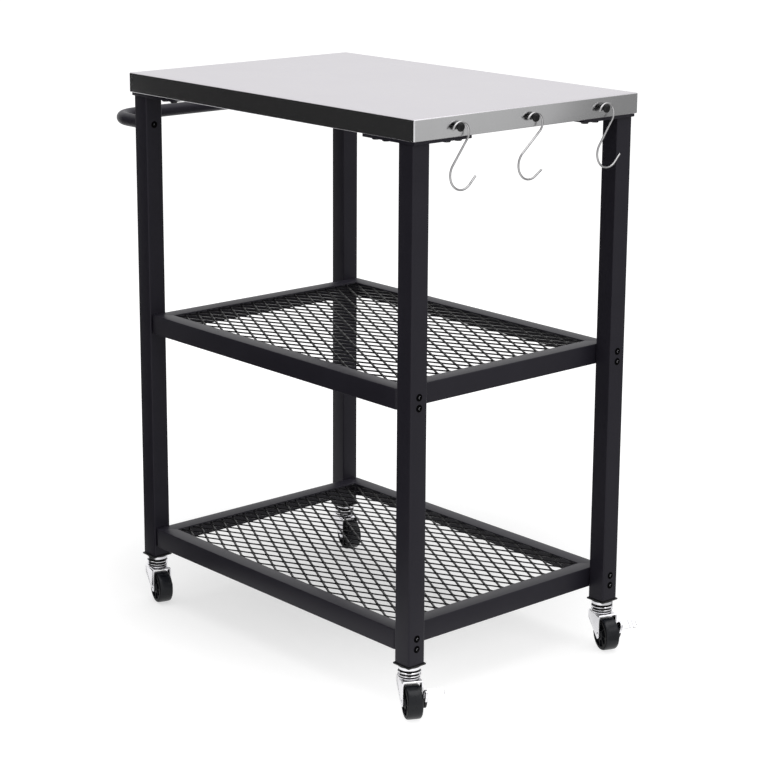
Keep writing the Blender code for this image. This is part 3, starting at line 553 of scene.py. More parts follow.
# %% Corner plates
PLATE, PLATE_ARM, CUT_ALONG, CUT_ACROSS, PLATE_MARGIN = mm(105, 42, 8, 12, 3)
PLATE_THICKNESS, PLATE_EDGE, PLATE_BOLT_EDGE = mm(4.5, 0.5, 12.5)
PLATE_BOLT_REACHES = mm(70, 91)
plate_top = top_low.z - REST_GAP
plate_foot = plate_top - PLATE_THICKNESS
plate_bolts = []
for name, (side_x, side_y) in CORNERS.items():
    corner_x = MIDDLE.x + side_x * (HALF_TOP.x - PLATE_MARGIN)
    corner_y = MIDDLE.y + side_y * (HALF_TOP.y - PLATE_MARGIN)
    reaches = ((0, 0), (PLATE, 0), (PLATE, PLATE_ARM - CUT_ACROSS),
               (PLATE - CUT_ALONG, PLATE_ARM), (PLATE_ARM, PLATE - CUT_ALONG),
               (PLATE_ARM - CUT_ACROSS, PLATE), (0, PLATE))
    outline = [(corner_x - side_x * x, corner_y - side_y * y) for x, y in reaches]
    add_piece("corner_plate_" + name, slab(outline, plate_foot, plate_top, PLATE_EDGE),
              (POWDER_BLACK,), "cart", ["leg_plate_" + name])
    for reach in PLATE_BOLT_REACHES:
        for x, y in ((reach, PLATE_BOLT_EDGE), (PLATE_BOLT_EDGE, reach)):
            plate_bolts.append(((corner_x - side_x * x, corner_y - side_y * y, plate_foot),
                                (0, 0, -1)))
print(len(plate_bolts), "plate bolts to place")

# %% [markdown]
# ## Shelf frames
#
# Each shelf is a mitred frame of angle iron, a flange on top and a wall down the outside. The
# section is small, so it is written once as pairs of inset and height, with the rolled edges
# rounded by short arcs, and lofted round the frame like a picture moulding.

# %% Build the frames
RAIL_FLANGE, RAIL_WALL, RAIL_HEEL, RAIL_TOE, RAIL_ROOT = mm(25, 2.5, 1.3, 0.6, 0.8)
FRAME_CORNER, INNER_CORNER, LIP, LIP_MIDDLE, LIP_UNDER = mm(6, 0.3, 0.5, 0.15, 0.4)
for shelf in SHELVES:
    low, high, centre, half = measured("shelf_frame_" + shelf)
    under = high.z - RAIL_WALL
    section = [(RAIL_FLANGE, high.z - LIP), (RAIL_FLANGE - LIP_MIDDLE, high.z - LIP_MIDDLE),
               (RAIL_FLANGE - LIP, high.z),
               *arc((RAIL_HEEL, high.z - RAIL_HEEL), RAIL_HEEL, 90, 180, 5),
               *arc((RAIL_TOE, low.z + RAIL_TOE), RAIL_TOE, 180, 270, 3),
               *arc((RAIL_WALL - RAIL_TOE, low.z + RAIL_TOE), RAIL_TOE, -90, 0, 3),
               *arc((RAIL_WALL + RAIL_ROOT, under - RAIL_ROOT), RAIL_ROOT, 180, 90, 3),
               (RAIL_FLANGE - LIP_UNDER, under), (RAIL_FLANGE, under + LIP_UNDER)]
    add_piece("shelf_rails_" + shelf, tube(section, centre, half, FRAME_CORNER, INNER_CORNER, 5),
              (POWDER_BLACK,), "cart", ["shelf_frame_" + shelf])

# %% [markdown]
# ## Expanded metal nets
#
# Expanded metal is slit and stretched: every strand is a zigzag ribbon that touches its
# neighbours at short level bonds, where two strands lie side by side. So a net follows a
# simple rule, and Geometry Nodes suit it. The tree lays a line of points, shifts each by its
# number to make one zigzag, skins it with a flat section that leans a little as the real
# strands do, and sets copies side by side, every other one shifted by half a mesh.

# %% The net's tree
def new_tree(name, **inputs):
    """A Geometry Nodes tree with its named inputs, listed by kind, and one output."""
    tree = bpy.data.node_groups.new(name, "GeometryNodeTree")
    names = [(title, kind) for kind, titles in inputs.items() for title in titles]
    for title, kind in names:
        tree.interface.new_socket(title, in_out="INPUT", socket_type="NodeSocket" + kind)
    tree.interface.new_socket("Geometry", in_out="OUTPUT", socket_type="NodeSocketGeometry")
    sheet = Sheet(tree)
    first = sheet.node("NodeGroupInput")
    return sheet, {title: first.pick(title) for title, _ in names}


def finish_tree(sheet, shape, finish):
    """Make copies real, give them their finish, and send them out."""
    real = sheet.node("GeometryNodeRealizeInstances", {"Geometry": shape})
    painted = sheet.node("GeometryNodeSetMaterial", {"Geometry": real, "Material": finish})
    sheet.join(painted, sheet.tree.nodes.new("NodeGroupOutput").inputs["Geometry"])


net, given = new_tree("expanded_metal", Geometry=["Geometry"], Float=[
    "Long way", "Short way", "Bond", "Strand width", "Strand thickness", "Lean", "Start x",
    "Start y", "Middle z"], Int=["Points", "Ribbons"], Material=["Finish"])
number = net.node("GeometryNodeInputIndex")
half_step = (number * 0.5).floor()
zig_x = half_step * given["Long way"] * 0.5 + (number % 2.0 - 0.5) * given["Bond"]
zig_y = (half_step % 2.0) * (given["Short way"] * 0.5 - given["Strand width"])
line = net.node("GeometryNodeMeshLine", {"Count": given["Points"], "Offset": (0.001, 0, 0)},
                mode="OFFSET")
zigzag = net.node("GeometryNodeSetPosition", {
    "Geometry": line, "Position": net.vector(zig_x, zig_y)})
curve = net.node("GeometryNodeMeshToCurve", {"Mesh": zigzag})
curve = net.node("GeometryNodeSetCurveNormal", {"Curve": curve}, mode="Z_UP")
section = net.node("GeometryNodeCurvePrimitiveQuadrilateral", {
    "Width": given["Strand width"], "Height": given["Strand thickness"]}, mode="RECTANGLE")
section = net.node("GeometryNodeTransform", {
    "Geometry": section, "Rotation": net.vector(z=given["Lean"])})
ribbon = net.node("GeometryNodeCurveToMesh", {
    "Curve": curve, "Profile Curve": section, "Fill Caps": True})
rows = net.node("GeometryNodeMeshLine", {"Count": given["Ribbons"], "Offset": (0, 0.001, 0)},
                mode="OFFSET")
row_x = (number % 2.0) * given["Long way"] * 0.5 + given["Start x"]
row_y = (number * given["Short way"] * 0.5 + given["Strand width"] * 0.5) + given["Start y"]
rows = net.node("GeometryNodeSetPosition", {
    "Geometry": rows, "Position": net.vector(row_x, row_y, given["Middle z"])})
placed = net.node("GeometryNodeInstanceOnPoints", {"Points": rows, "Instance": ribbon})
finish_tree(net, placed, given["Finish"])
print("net tree:", len(net.tree.nodes), "nodes")


# %% Grow a tree into a plain mesh
def plain_mesh(name, item):
    """What an object looks like with its modifiers, as mesh data of its own."""
    bpy.context.view_layer.update()
    seen = item.evaluated_get(bpy.context.evaluated_depsgraph_get())
    data = bpy.data.meshes.new_from_object(seen)
    data.name = name
    return data


def grown(name, base, sheet, values):
    """Run a tree on a base mesh and return the result as plain mesh data."""
    holder = link(name + "_holder", base)
    modifier = holder.modifiers.new("grow", "NODES")
    modifier.node_group = sheet.tree
    for item in sheet.tree.interface.items_tree:
        if item.item_type == "SOCKET" and item.in_out == "INPUT" and item.name in values:
            modifier[item.identifier] = values[item.name]
    data = plain_mesh(name, holder)
    holder.modifiers.remove(modifier)
    bpy.data.objects.remove(holder, do_unlink=True)
    return data


# %% [markdown]
# The grown net is larger than its frame, so it is cut to size with four planes, and each cut
# is closed. Where the strands lie under the flange they are welded in the real shelf.

# %% Nets cut to their frames
LONG_WAY, SHORT_WAY, BOND, STRAND_WIDTH, STRAND_THICKNESS = mm(42, 22, 5.5, 2.9, 2.1)
NET_DEPTH, NET_SHIFT, WELD_WITHIN, CUT_WITHIN = mm(1.5, 3, 0.002, 0.001)
STRAND_LEAN = math.radians(-22)
for shelf in SHELVES:
    low, high, centre, half = measured("shelf_net_" + shelf)
    ribbons = 2 * math.ceil(half.y / (SHORT_WAY / 2)) + 3
    halves = 2 * math.ceil(half.x / (LONG_WAY / 2)) + 4
    work = opened(grown("net_" + shelf, bpy.data.meshes.new("net_base"), net, {
        "Long way": LONG_WAY, "Short way": SHORT_WAY, "Bond": BOND,
        "Strand width": STRAND_WIDTH, "Strand thickness": STRAND_THICKNESS,
        "Lean": STRAND_LEAN, "Start x": centre.x - LONG_WAY / 2 * (halves // 2 + 1),
        "Start y": centre.y - SHORT_WAY / 2 * (ribbons // 2) - NET_SHIFT,
        "Middle z": high.z - NET_DEPTH, "Points": 2 * halves + 4, "Ribbons": ribbons,
        "Finish": NET_BLACK}))
    bmesh.ops.remove_doubles(work, verts=work.verts, dist=WELD_WITHIN)
    for axis, limit in ((0, low.x), (0, high.x), (1, low.y), (1, high.y)):
        there, outwards = centre.copy(), Vector()
        there[axis] = limit
        outwards[axis] = 1 if limit > centre[axis] else -1
        cut = bmesh.ops.bisect_plane(work, geom=[*work.verts, *work.edges, *work.faces],
                                     plane_co=there, plane_no=outwards, clear_outer=True,
                                     dist=CUT_WITHIN)
        edges = [item for item in cut["geom_cut"] if isinstance(item, bmesh.types.BMEdge)]
        bmesh.ops.holes_fill(work, edges=[edge for edge in edges if edge.is_boundary], sides=0)
    add_piece("net_" + shelf, work, (NET_BLACK,), "cart", ["shelf_net_" + shelf])

# %% [markdown]
# ## Bolts
#
# Three small shapes repeat: hexagon bolts under the corner plates, round heads on the legs,
# and the nuts behind them. Each has one master mesh, sized by its head, and one tree that
# sets a copy on every point, turned to the direction stored there and by a seeded angle about
# its own axis, since no two bolts stop at the same angle.

# %% The tree for bolts
bolts, given = new_tree("bolts_on_points", Geometry=["Geometry"], Object=["Bolt"],
                        Float=["Size", "Turn spread"], Int=["Seed"], Material=["Finish"])
master = bolts.node("GeometryNodeObjectInfo", {"Object": given["Bolt"]}, "Geometry",
                    transform_space="ORIGINAL")
outwards = bolts.node("GeometryNodeInputNamedAttribute", {"Name": "outwards"}, "Attribute",
                      data_type="FLOAT_VECTOR")
aim = bolts.node("FunctionNodeAlignRotationToVector", {"Vector": outwards}, axis="Z")
spin = bolts.node("FunctionNodeRandomValue", {
    2: 0.0, 3: given["Turn spread"], "Seed": given["Seed"]}, 1, data_type="FLOAT")
about = bolts.node("FunctionNodeAxisAngleToRotation", {"Axis": (0, 0, 1), "Angle": spin})
aim = bolts.node("FunctionNodeRotateRotation", {"Rotation": aim, "Rotate By": about},
                 rotation_space="LOCAL")
size = given["Size"]
placed = bolts.node("GeometryNodeInstanceOnPoints", {
    "Points": given["Geometry"], "Instance": master, "Rotation": aim,
    "Scale": bolts.vector(size, size, size)})
finish_tree(bolts, placed, given["Finish"])
print("bolt tree:", len(bolts.tree.nodes), "nodes")

BOLT_SEED = 7


def bolted(name, places, build, size, finishes, stands_for=(), painted=None):
    """One plain mesh of all the bolts of a kind, copied from an unseen master."""
    work = bmesh.new()
    build(work)
    master = bpy.data.objects.new(name + "_master", mesh_of(name + "_master", work))
    points = bpy.data.meshes.new(name + "_points")
    points.from_pydata([place for place, _ in places], [], [])
    facing = points.attributes.new("outwards", "FLOAT_VECTOR", "POINT")
    for index, (_, direction) in enumerate(places):
        facing.data[index].vector = direction
    data = grown(name, points, bolts, {
        "Bolt": master, "Size": size, "Turn spread": 2 * math.pi, "Seed": BOLT_SEED,
        "Finish": finishes[0]})
    data.materials.clear()
    add_piece(name, opened(data), finishes, "cart", stands_for, painted)


# %% Hexagon bolts under the plates
def hexagon_bolt(work):
    """Washer, chamfered hexagon head, and the threaded end above the flange."""
    turn([(0, 0), (1.15, 0), (1.2, 0.04), (1.2, 0.10), (1.15, 0.14), (0, 0.14)], 24, work=work)
    rings = []
    for height, reach, corners in ((0.14, 0.97, 0.97), (0.18, 1.0, 1.0), (0.46, 1.0, 1.0),
                                   (0.57, 1.0, 0.86), (0.57, 0.70, 0.70)):
        ring = []
        for angle in around(24):
            side = (angle + math.pi / 6) % (math.pi / 3) - math.pi / 6
            out = min(math.cos(math.pi / 6) / math.cos(side) * reach, corners)
            ring.append(Vector((out * math.cos(angle), out * math.sin(angle), height)))
        rings.append(ring)
    loft(rings, work=work)
    turn([(0, -0.55), (0.46, -0.55), (0.46, -1.3), (0.40, -1.38), (0, -1.38)], 16, work=work)


bolted("plate_bolts", plate_bolts, hexagon_bolt, 5.6 * MM, (BOLT_BLACK,))

# %% [markdown]
# The leg bolts are black round heads. Each is drawn as a grey dome, a painted highlight, on a
# wider, lower collar, and the faces out beyond the dome get a deep black that is painted shade.
# On the inner side of the legs the shelf bolts end in nuts. The two bolts of the handle have
# none.

# %% Round-headed bolts through the legs
DOME, PAINTED_SHADE_FROM = 0.46, 0.56
HEAD_RADIUS, NUT_RADIUS, LEG_HALF, NUT_SEAT = mm(5.3, 4.6, 15, 17.8)


def button_bolt(work):
    """A small dome on a wider flat collar; the dome gets a painted highlight, the collar painted
    shade.
    """
    turn(dome(DOME, 0.14, 0.48, (0, 12, 25, 38, 51, 64, 77, 90))
         + [(DOME, 0.12), (0.92, 0.12), (1.0, 0.06), (1.0, 0.02), (0.98, 0.0), (0, 0.0)], 28,
         work=work)


def domed_nut(work):
    """A nut with a washer, closed by a low dome."""
    turn([(0, 0), (1.1, 0), (1.1, 0.12), (0, 0.12)], 20, work=work)
    turn([(0, 0.12), (0.95, 0.12), (0.95, 0.55), (0.80, 0.78), (0.45, 0.88), (0, 0.90)], 6,
         work=work)


def painted_shade_beyond_dome(face):
    """One for a face outside the dome of the nearest head, which gets painted shade."""
    out = min((face.center - Vector(place)).length for place, _ in heads)
    return int(out > PAINTED_SHADE_FROM * HEAD_RADIUS)


heads, nuts, shelf_nodes, handle_nodes = [], [], [], []
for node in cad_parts:
    if node.startswith(("shelf_bolt_", "handle_bolt_")):
        corner = node.split("_")[2]
        centre = measured(node)[2]
        leg = leg_centres[corner]
        on_shelf = node.startswith("shelf_bolt_")
        side = CORNERS[corner][0] if on_shelf else 1
        heads.append(((leg.x + side * LEG_HALF, centre.y, centre.z), (side, 0, 0)))
        if on_shelf:
            nuts.append(((leg.x - side * NUT_SEAT, centre.y, centre.z), (-side, 0, 0)))
        (shelf_nodes if on_shelf else handle_nodes).append(node)
# The domes get a grey that is a painted highlight, and the collars a black that is painted shade.
bolted("leg_bolts", heads, button_bolt, HEAD_RADIUS, (PAINTED_HIGHLIGHT_DOME, PAINTED_SHADE_BLACK),
       shelf_nodes + handle_nodes, painted_shade_beyond_dome)
bolted("shelf_nuts", nuts, domed_nut, NUT_RADIUS, (BOLT_BLACK,))

# %% [markdown]
# ## Push handle, pegs and S-hooks
#
# The handle is one tube bent twice, swept along a route with fine steps so the bends stay
# round. The pegs are turned studs with a domed head and a nut inside the skirt.

# %% Push handle
HANDLE_BEND = 50 * MM
low, high, centre, half = measured("push_handle")
radius = half.z
end_y = half.y - radius
near = arc((low.x + radius + HANDLE_BEND, HANDLE_BEND - end_y), HANDLE_BEND, -90, -180, 24)
flat = [(high.x, -end_y), *near, *((x, -y) for x, y in reversed(near)), (high.x, end_y)]
add_piece("push_handle_tube", sweep([(x, MIDDLE.y + y, centre.z) for x, y in flat], radius, 32),
          (POWDER_BLACK,), "cart", ["push_handle"])

# %% Pegs
PEG_RADIUS = 4.0 * MM
peg_profile = in_mm(*dome(6.6, 9.4, 3.4, (0, 12, 24, 36, 48, 60, 72, 84, 90)), (6.6, 8.5),
                    (6.2, 8), (4.4, 8), (4.0, 7.6), (4.0, 0.4), (4.6, 0), (2.5, 0), (2.5, -2),
                    (4.8, -2), (4.8, -5.5), (4.2, -6), (0, -6))
peg_centres = {number: measured("hook_peg_%d" % number)[2] for number in (1, 2, 3)}
for number, centre in peg_centres.items():
    place = (Matrix.Translation((top_high.x, centre.y, centre.z))
             @ Matrix.Rotation(math.pi / 2, 4, "Y"))
    add_piece("peg_%d" % number, turn(peg_profile, 36, place), (BOLT_BLACK,), "cart",
              ["hook_peg_%d" % number])

# %% [markdown]
# The hooks are 3 mm wire. Each hangs where its CAD node hangs, so its route repeats the same
# sizes, and its own weight decides how far it leans: the middle of mass lies straight below
# the upper bend. Each hook hangs at a small angle of its own, as loose hooks do.

# %% S-hooks
WIRE, WIRE_END, UPPER_RADIUS, LOWER_RADIUS = mm(1.5, 0.9, 15, 21.5)
HOOK_CENTRES, HOOK_TAIL, SIDE_SHIFT = mm(56, 15, 2.5)
UPPER_OPENING, LOWER_TURN = 200, 42
HOOK_SWINGS = {1: 1.0, 2: -11.0, 3: 2.5}


def hook_route(steps):
    """An S in its own plane, from the free upper end to the straight tail."""
    leave = -math.degrees(math.asin((UPPER_RADIUS + LOWER_RADIUS) / HOOK_CENTRES))
    end = 270 + LOWER_TURN
    upper = arc((0, 0), UPPER_RADIUS, leave + UPPER_OPENING, leave, steps)
    lower = arc((0, -HOOK_CENTRES), LOWER_RADIUS, leave + 180, end, steps)
    tail = (lower[-1][0] - math.sin(math.radians(end)) * HOOK_TAIL,
            lower[-1][1] + math.cos(math.radians(end)) * HOOK_TAIL)
    return upper + lower + [tail]


def balance_angle(route):
    """The turn that hangs the wire's middle of mass straight below its upper bend."""
    across = down = 0.0
    for (x0, y0), (x1, y1) in zip(route, route[1:]):
        length = math.hypot(x1 - x0, y1 - y0)
        across += length * (x0 + x1) / 2
        down += length * (y0 + y1) / 2
    return math.atan2(across, -down)


balance = balance_angle(hook_route(10))
drop = math.sqrt((UPPER_RADIUS - WIRE - PEG_RADIUS - REST_GAP) ** 2 - SIDE_SHIFT ** 2)
for number, degrees in HOOK_SWINGS.items():
    node = "s_hook_%d" % number
    swing = math.radians(degrees)
    hang = Matrix.Rotation(swing, 3, "X") @ Vector((0, SIDE_SHIFT, -drop))
    lean = Matrix.Rotation(swing - balance, 3, "X")
    peg = peg_centres[number]
    origin = Vector((measured(node)[2].x, peg.y, peg.z))
    route = [lean @ Vector((0, across, up)) + hang + origin for across, up in hook_route(36)]
    add_piece("hook_%d" % number, sweep(route, WIRE, 16, WIRE_END), (HOOK_NICKEL,), node,
              [node])

# %% [markdown]
# ## Casters
#
# Each caster turns on its stem to its own heading. Its pieces are built once in the caster's
# own axes, with the wheel behind the stem, and then placed with a matrix, so that the mesh
# itself holds the place. The stem carries a cap and a grooved ball race, the fork is bent
# sheet, the wheel has a rounded tread and ribbed sides, and two casters have a side brake.

# %% Caster sizes and places
HEADINGS = {"front": -28.5, "right": -21.0, "left": -16.0, "back": -13.0}
WHEEL_RADIUS, TRAIL, CAM_THICKNESS = mm(25, 18, 3.6)
FORK_INNER, FORK_OUTER, FORK_TOP = mm(13.0, 15.2, 56.2)
BRAKED = ("front", "right")


def caster_place(name):
    """From a caster's own axes to the cart: stem at the origin, floor at zero height."""
    return (Matrix.Translation((leg_centres[name].x, leg_centres[name].y, 0))
            @ Matrix.Rotation(math.radians(HEADINGS[name]), 4, "Z"))


def hub_place(name):
    """The same axes with the origin in the middle of the wheel."""
    return caster_place(name) @ Matrix.Translation((TRAIL, 0, WHEEL_RADIUS))


def axle_place(name):
    """The wheel's axis as Z, its middle at the origin."""
    return hub_place(name) @ Matrix.Rotation(math.pi / 2, 4, "X")


def painted_groove_shade(name, low, high):
    """A painter that gives painted shade, the second finish, to what lies deep between two
    heights.
    """
    centre = leg_centres[name]

    def painted(face):
        out = math.hypot(face.center.x - centre.x, face.center.y - centre.y)
        return int(low < face.center.z / MM < high and 9 < out / MM < 15)
    return painted


# %% Stems with their races
STEM_PROFILE = in_mm(
    (0, 88.9), (4.4, 88.9), (5, 88.3), (5, 73.9), (15.6, 73.9), (16.2, 73.3), (16.2, 69.6),
    (15.7, 69.0), (12.6, 68.9), (12.6, 66.5), (16.0, 66.3), (16.8, 65.6), (16.8, 64.8),
    (16.3, 64.3), (14.0, 64.2), (14.0, 63.0), (6, 63.0), (6, 53.7), (7.5, 53.7), (7.3, 52.4),
    (5.6, 51.7), (0, 51.7))
# The neck and step of each race between two heights get black, which is painted shade.
for name in CORNERS:
    add_piece("race_" + name, turn(STEM_PROFILE, 48, caster_place(name)),
              (CASTER_ZINC, PLUG_BLACK_AND_GROOVE_SHADE), "cart", ["caster_stem_" + name],
              painted_groove_shade(name, 62.9, 69.0))


# %% [markdown]
# A fork is pressed from one strip. Seen from the side it tapers from round shoulders to an eye
# round the axle, and seen from the front it is an upside-down U. Both outlines are drawn out
# to solids, and the part that they share is the fork, with its edges softened.

# %% Forks of bent sheet
FORK_BEND, FORK_INNER_BEND, FORK_EYE, FORK_SHOULDER, SOFT_EDGE = mm(3.2, 1, 4.2, 3, 0.35)


def fork_side(steps):
    """The fork seen from the side: round shoulders above, and an eye round the axle."""
    tip = (TRAIL - 0.6 * MM, WHEEL_RADIUS - 2.6 * MM)
    front, back = tip[0] + FORK_EYE, TRAIL - 33 * MM
    waist = FORK_TOP - 14 * MM
    bend = FORK_TOP - FORK_SHOULDER
    span = (tip[0] - back, tip[1] - waist)
    slant = math.atan2(span[1], span[0]) - math.asin(FORK_EYE / math.hypot(*span))
    return [*arc((back + FORK_SHOULDER, bend), FORK_SHOULDER, 90, 180, steps),
            (back, waist + 2.5 * MM), (back + 0.5 * MM, waist + 0.2 * MM),
            (back + 2.2 * MM, waist - 1.8 * MM),
            *arc(tip, FORK_EYE, math.degrees(slant) - 90, 0, 2 * steps),
            *arc((front - FORK_SHOULDER, bend), FORK_SHOULDER, 0, 90, steps)]


def fork_section(steps):
    """The fork seen from the front: an upside-down U with bent shoulders."""
    crook = (FORK_INNER - FORK_INNER_BEND, FORK_TOP - FORK_OUTER + FORK_INNER - FORK_INNER_BEND)
    right = [(FORK_OUTER, 0),
             *arc((FORK_OUTER - FORK_BEND, FORK_TOP - FORK_BEND), FORK_BEND, 0, 90, steps)]
    under = [(FORK_INNER, 0), *arc(crook, FORK_INNER_BEND, 0, 90, steps)]
    return (right + [(-y, z) for y, z in reversed(right)]
            + [(-y, z) for y, z in under] + under[::-1])


def prism(name, rings):
    """A closed solid between two equal outlines."""
    work = loft(rings)
    bmesh.ops.triangulate(work, faces=[face for face in work.faces if len(face.verts) > 4])
    return link(name, mesh_of(name, work))


def common_part(name, first, second):
    """The solid that two others share, with its edges softened."""
    cut = first.modifiers.new("common", "BOOLEAN")
    cut.operation = "INTERSECT"
    cut.solver = "EXACT"
    cut.object = second
    soften = first.modifiers.new("soften", "BEVEL")
    soften.width = SOFT_EDGE
    soften.segments = 2
    soften.limit_method = "ANGLE"
    soften.angle_limit = math.radians(40)
    data = plain_mesh(name, first)
    for item in (first, second):
        bpy.data.objects.remove(item, do_unlink=True)
    return data


fork_shape = common_part(
    "fork_shape",
    prism("fork_u", [[(x, y, z) for y, z in fork_section(5)] for x in (-40 * MM, 40 * MM)]),
    prism("fork_side", [[(x, y, z) for x, z in fork_side(5)] for y in (-30 * MM, 30 * MM)]))
CROWN_PROFILE = in_mm(
    (6.6, 55.8), (15.6, 55.8), (15.6, 56.8), (15.2, 57.2), (14.7, 57.3), (14.7, 59.8),
    (16.3, 59.9), (16.8, 60.3), (16.8, 60.8), (16.3, 61.2), (14.0, 61.3), (14.0, 62.7),
    (6.6, 62.7))
# The crown's ring groove gets black too, which is painted shade.
for name in CORNERS:
    place = caster_place(name)
    work = turn(CROWN_PROFILE, 48, place, closed=True, work=opened(fork_shape, place))
    add_piece("fork_" + name, work, (CASTER_ZINC, PLUG_BLACK_AND_GROOVE_SHADE), "fork_" + name,
              ["caster_fork_" + name], painted_groove_shade(name, 57.2, 62.8))

# %% [markdown]
# The wheels' side ribs repeat round the hub, so a tree places them: one box, copied round a
# circle of points on both faces and joined to the turned wheel.

# %% The tree for wheel ribs
ribs, given = new_tree("wheel_ribs", Geometry=["Geometry"], Int=["Ribs"], Float=[
    "Hub radius", "Rim radius", "Rib width", "Rib depth", "Face height"], Material=["Finish"])
length = given["Rim radius"] - given["Hub radius"]
box = ribs.node("GeometryNodeMeshCube", {
    "Size": ribs.vector(length, given["Rib width"], given["Rib depth"])})
circle = ribs.node("GeometryNodeMeshCircle", {
    "Vertices": given["Ribs"], "Radius": (given["Rim radius"] + given["Hub radius"]) * 0.5})
facing = ribs.node("FunctionNodeAlignRotationToVector", {
    "Vector": ribs.node("GeometryNodeInputPosition")}, axis="X")
joined = ribs.node("GeometryNodeJoinGeometry")
shapes = [given["Geometry"]]
for side in (1.0, -1.0):
    star = ribs.node("GeometryNodeInstanceOnPoints", {
        "Points": circle, "Instance": box, "Rotation": facing})
    lift = (given["Face height"] - given["Rib depth"] * 0.5) * side
    shapes.append(ribs.node("GeometryNodeTransform", {
        "Geometry": star, "Translation": ribs.vector(z=lift)}))
for shape in shapes:
    ribs.join(shape, joined.socket.node.inputs[0])
finish_tree(ribs, joined, given["Finish"])
print("rib tree:", len(ribs.tree.nodes), "nodes")

# %% [markdown]
# A wheel is turned from half a profile and its mirror image: hub, recessed side, rim, round
# shoulder and a tread that is very slightly crowned. Its sides get a darker black than the
# tread, which is painted shade. The axle's head and nut sit outside the fork, and further out
# where a brake comes between.

# %% Wheels and axles
TREAD_HALF = 11.2
TREAD_SHOULDER = 3.5
SIDEWAYS = 0.7
HUB_FACE = (FORK_INNER - REST_GAP) / MM
upper = in_mm(
    (3.7, HUB_FACE), (6.6, HUB_FACE), (7, HUB_FACE - 0.4), (7.4, TREAD_HALF),
    (8.6, TREAD_HALF), (9, TREAD_HALF - 0.4), (9, TREAD_HALF - 2.5), (19, TREAD_HALF - 2.5),
    (19, TREAD_HALF - 0.4), (19.4, TREAD_HALF),
    *arc((21.4, TREAD_HALF - TREAD_SHOULDER), TREAD_SHOULDER, 90, 8, 6), (24.98, TREAD_HALF / 3))
wheel = turn(upper + [(radius, -height) for radius, height in reversed(upper)], 72, closed=True)
wheel_shape = grown("wheel_shape", mesh_of("wheel_turned", wheel), ribs, {
    "Ribs": 8, "Hub radius": 8.8 * MM, "Rim radius": 19.2 * MM, "Rib width": 1.2 * MM,
    "Rib depth": 1.8 * MM, "Face height": 10.6 * MM, "Finish": WHEEL_BLACK})
for name in CORNERS:
    place = axle_place(name)
    axis = place.to_3x3().col[2]
    # Faces that look along the axle get a darker black: painted shade on the wheel's sides.
    add_piece("wheel_" + name, opened(wheel_shape, place), (WHEEL_BLACK, WHEEL_SIDE_SHADE),
              "wheel_" + name, ["caster_wheel_" + name],
              lambda face: int(abs(face.normal.dot(axis)) > SIDEWAYS))

    head = (FORK_OUTER + REST_GAP) / MM
    nut = -head - ((CAM_THICKNESS + REST_GAP) / MM if name in BRAKED else 0)
    profile = in_mm((0, head + 1.5), (2.2, head + 1.4), (3.3, head + 0.9), (3.8, head),
                    (3.4, head), (3.4, nut), (5.2, nut), (5.2, nut - 1.6), (4.4, nut - 2.4),
                    (0, nut - 2.4))
    add_piece("axle_" + name, turn(profile, 32, place), (CASTER_ZINC,), "wheel_" + name,
              ["caster_axle_" + name])

# %% [markdown]
# A side brake is a plate that turns on the axle and carries a foot tab, pressed with cross
# ribs so that a shoe grips it. The plate is a loft between its keyhole outline and its bore.

# %% The brake's plate
BRAKE_HUB, BRAKE_BORE, BRAKE_ARM, BRAKE_TIP = mm(10.4, 3.8, 19, 6)
BRAKE_ANGLE = math.radians(52)
CAM_INNER = FORK_OUTER + REST_GAP
CAM_OUTER = CAM_INNER + CAM_THICKNESS


def keyhole(angle):
    """Distance from the axle to the plate's edge at an angle from its arm."""
    angle = math.atan2(math.sin(angle), math.cos(angle))
    if abs(angle) < math.atan2(BRAKE_TIP, BRAKE_ARM):
        across = BRAKE_ARM * math.sin(angle)
        return BRAKE_ARM * math.cos(angle) + math.sqrt(max(BRAKE_TIP ** 2 - across ** 2, 0))
    flare = math.acos((BRAKE_HUB - BRAKE_TIP) / BRAKE_ARM)
    if abs(angle) < flare:
        return min(BRAKE_HUB / math.cos(flare - abs(angle)), math.hypot(BRAKE_ARM, BRAKE_TIP))
    return BRAKE_HUB


def plate_rings(place):
    """Rings over the plate's rounded rim, in to the bore and back."""
    rings = []
    for shrink, level, bore in ((0.3 * MM, CAM_INNER, 0), (0, CAM_INNER + 0.3 * MM, 0),
                                (0, CAM_OUTER - 0.6 * MM, 0), (0.6 * MM, CAM_OUTER, 0),
                                (0, CAM_OUTER, BRAKE_BORE), (0, CAM_INNER, BRAKE_BORE)):
        ring = []
        for angle in around(64):
            reach = bore or keyhole(angle) - shrink
            turned = angle + BRAKE_ANGLE
            ring.append(place @ Vector((reach * math.cos(turned), level,
                                        reach * math.sin(turned))))
        rings.append(ring)
    return rings


# %% The brake's foot tab
TAB_START, TAB_END, TAB_HALF_WIDTH, TAB_HALF_THICKNESS, RIDGE = mm(0.4, 28.2, 7, 0.8, 0.45)
TAB_SLICES, RIDGE_WAVES = 40, 9
RIDGES_FROM, NARROW_FROM, THIN_FROM = 0.3, 0.94, 0.95


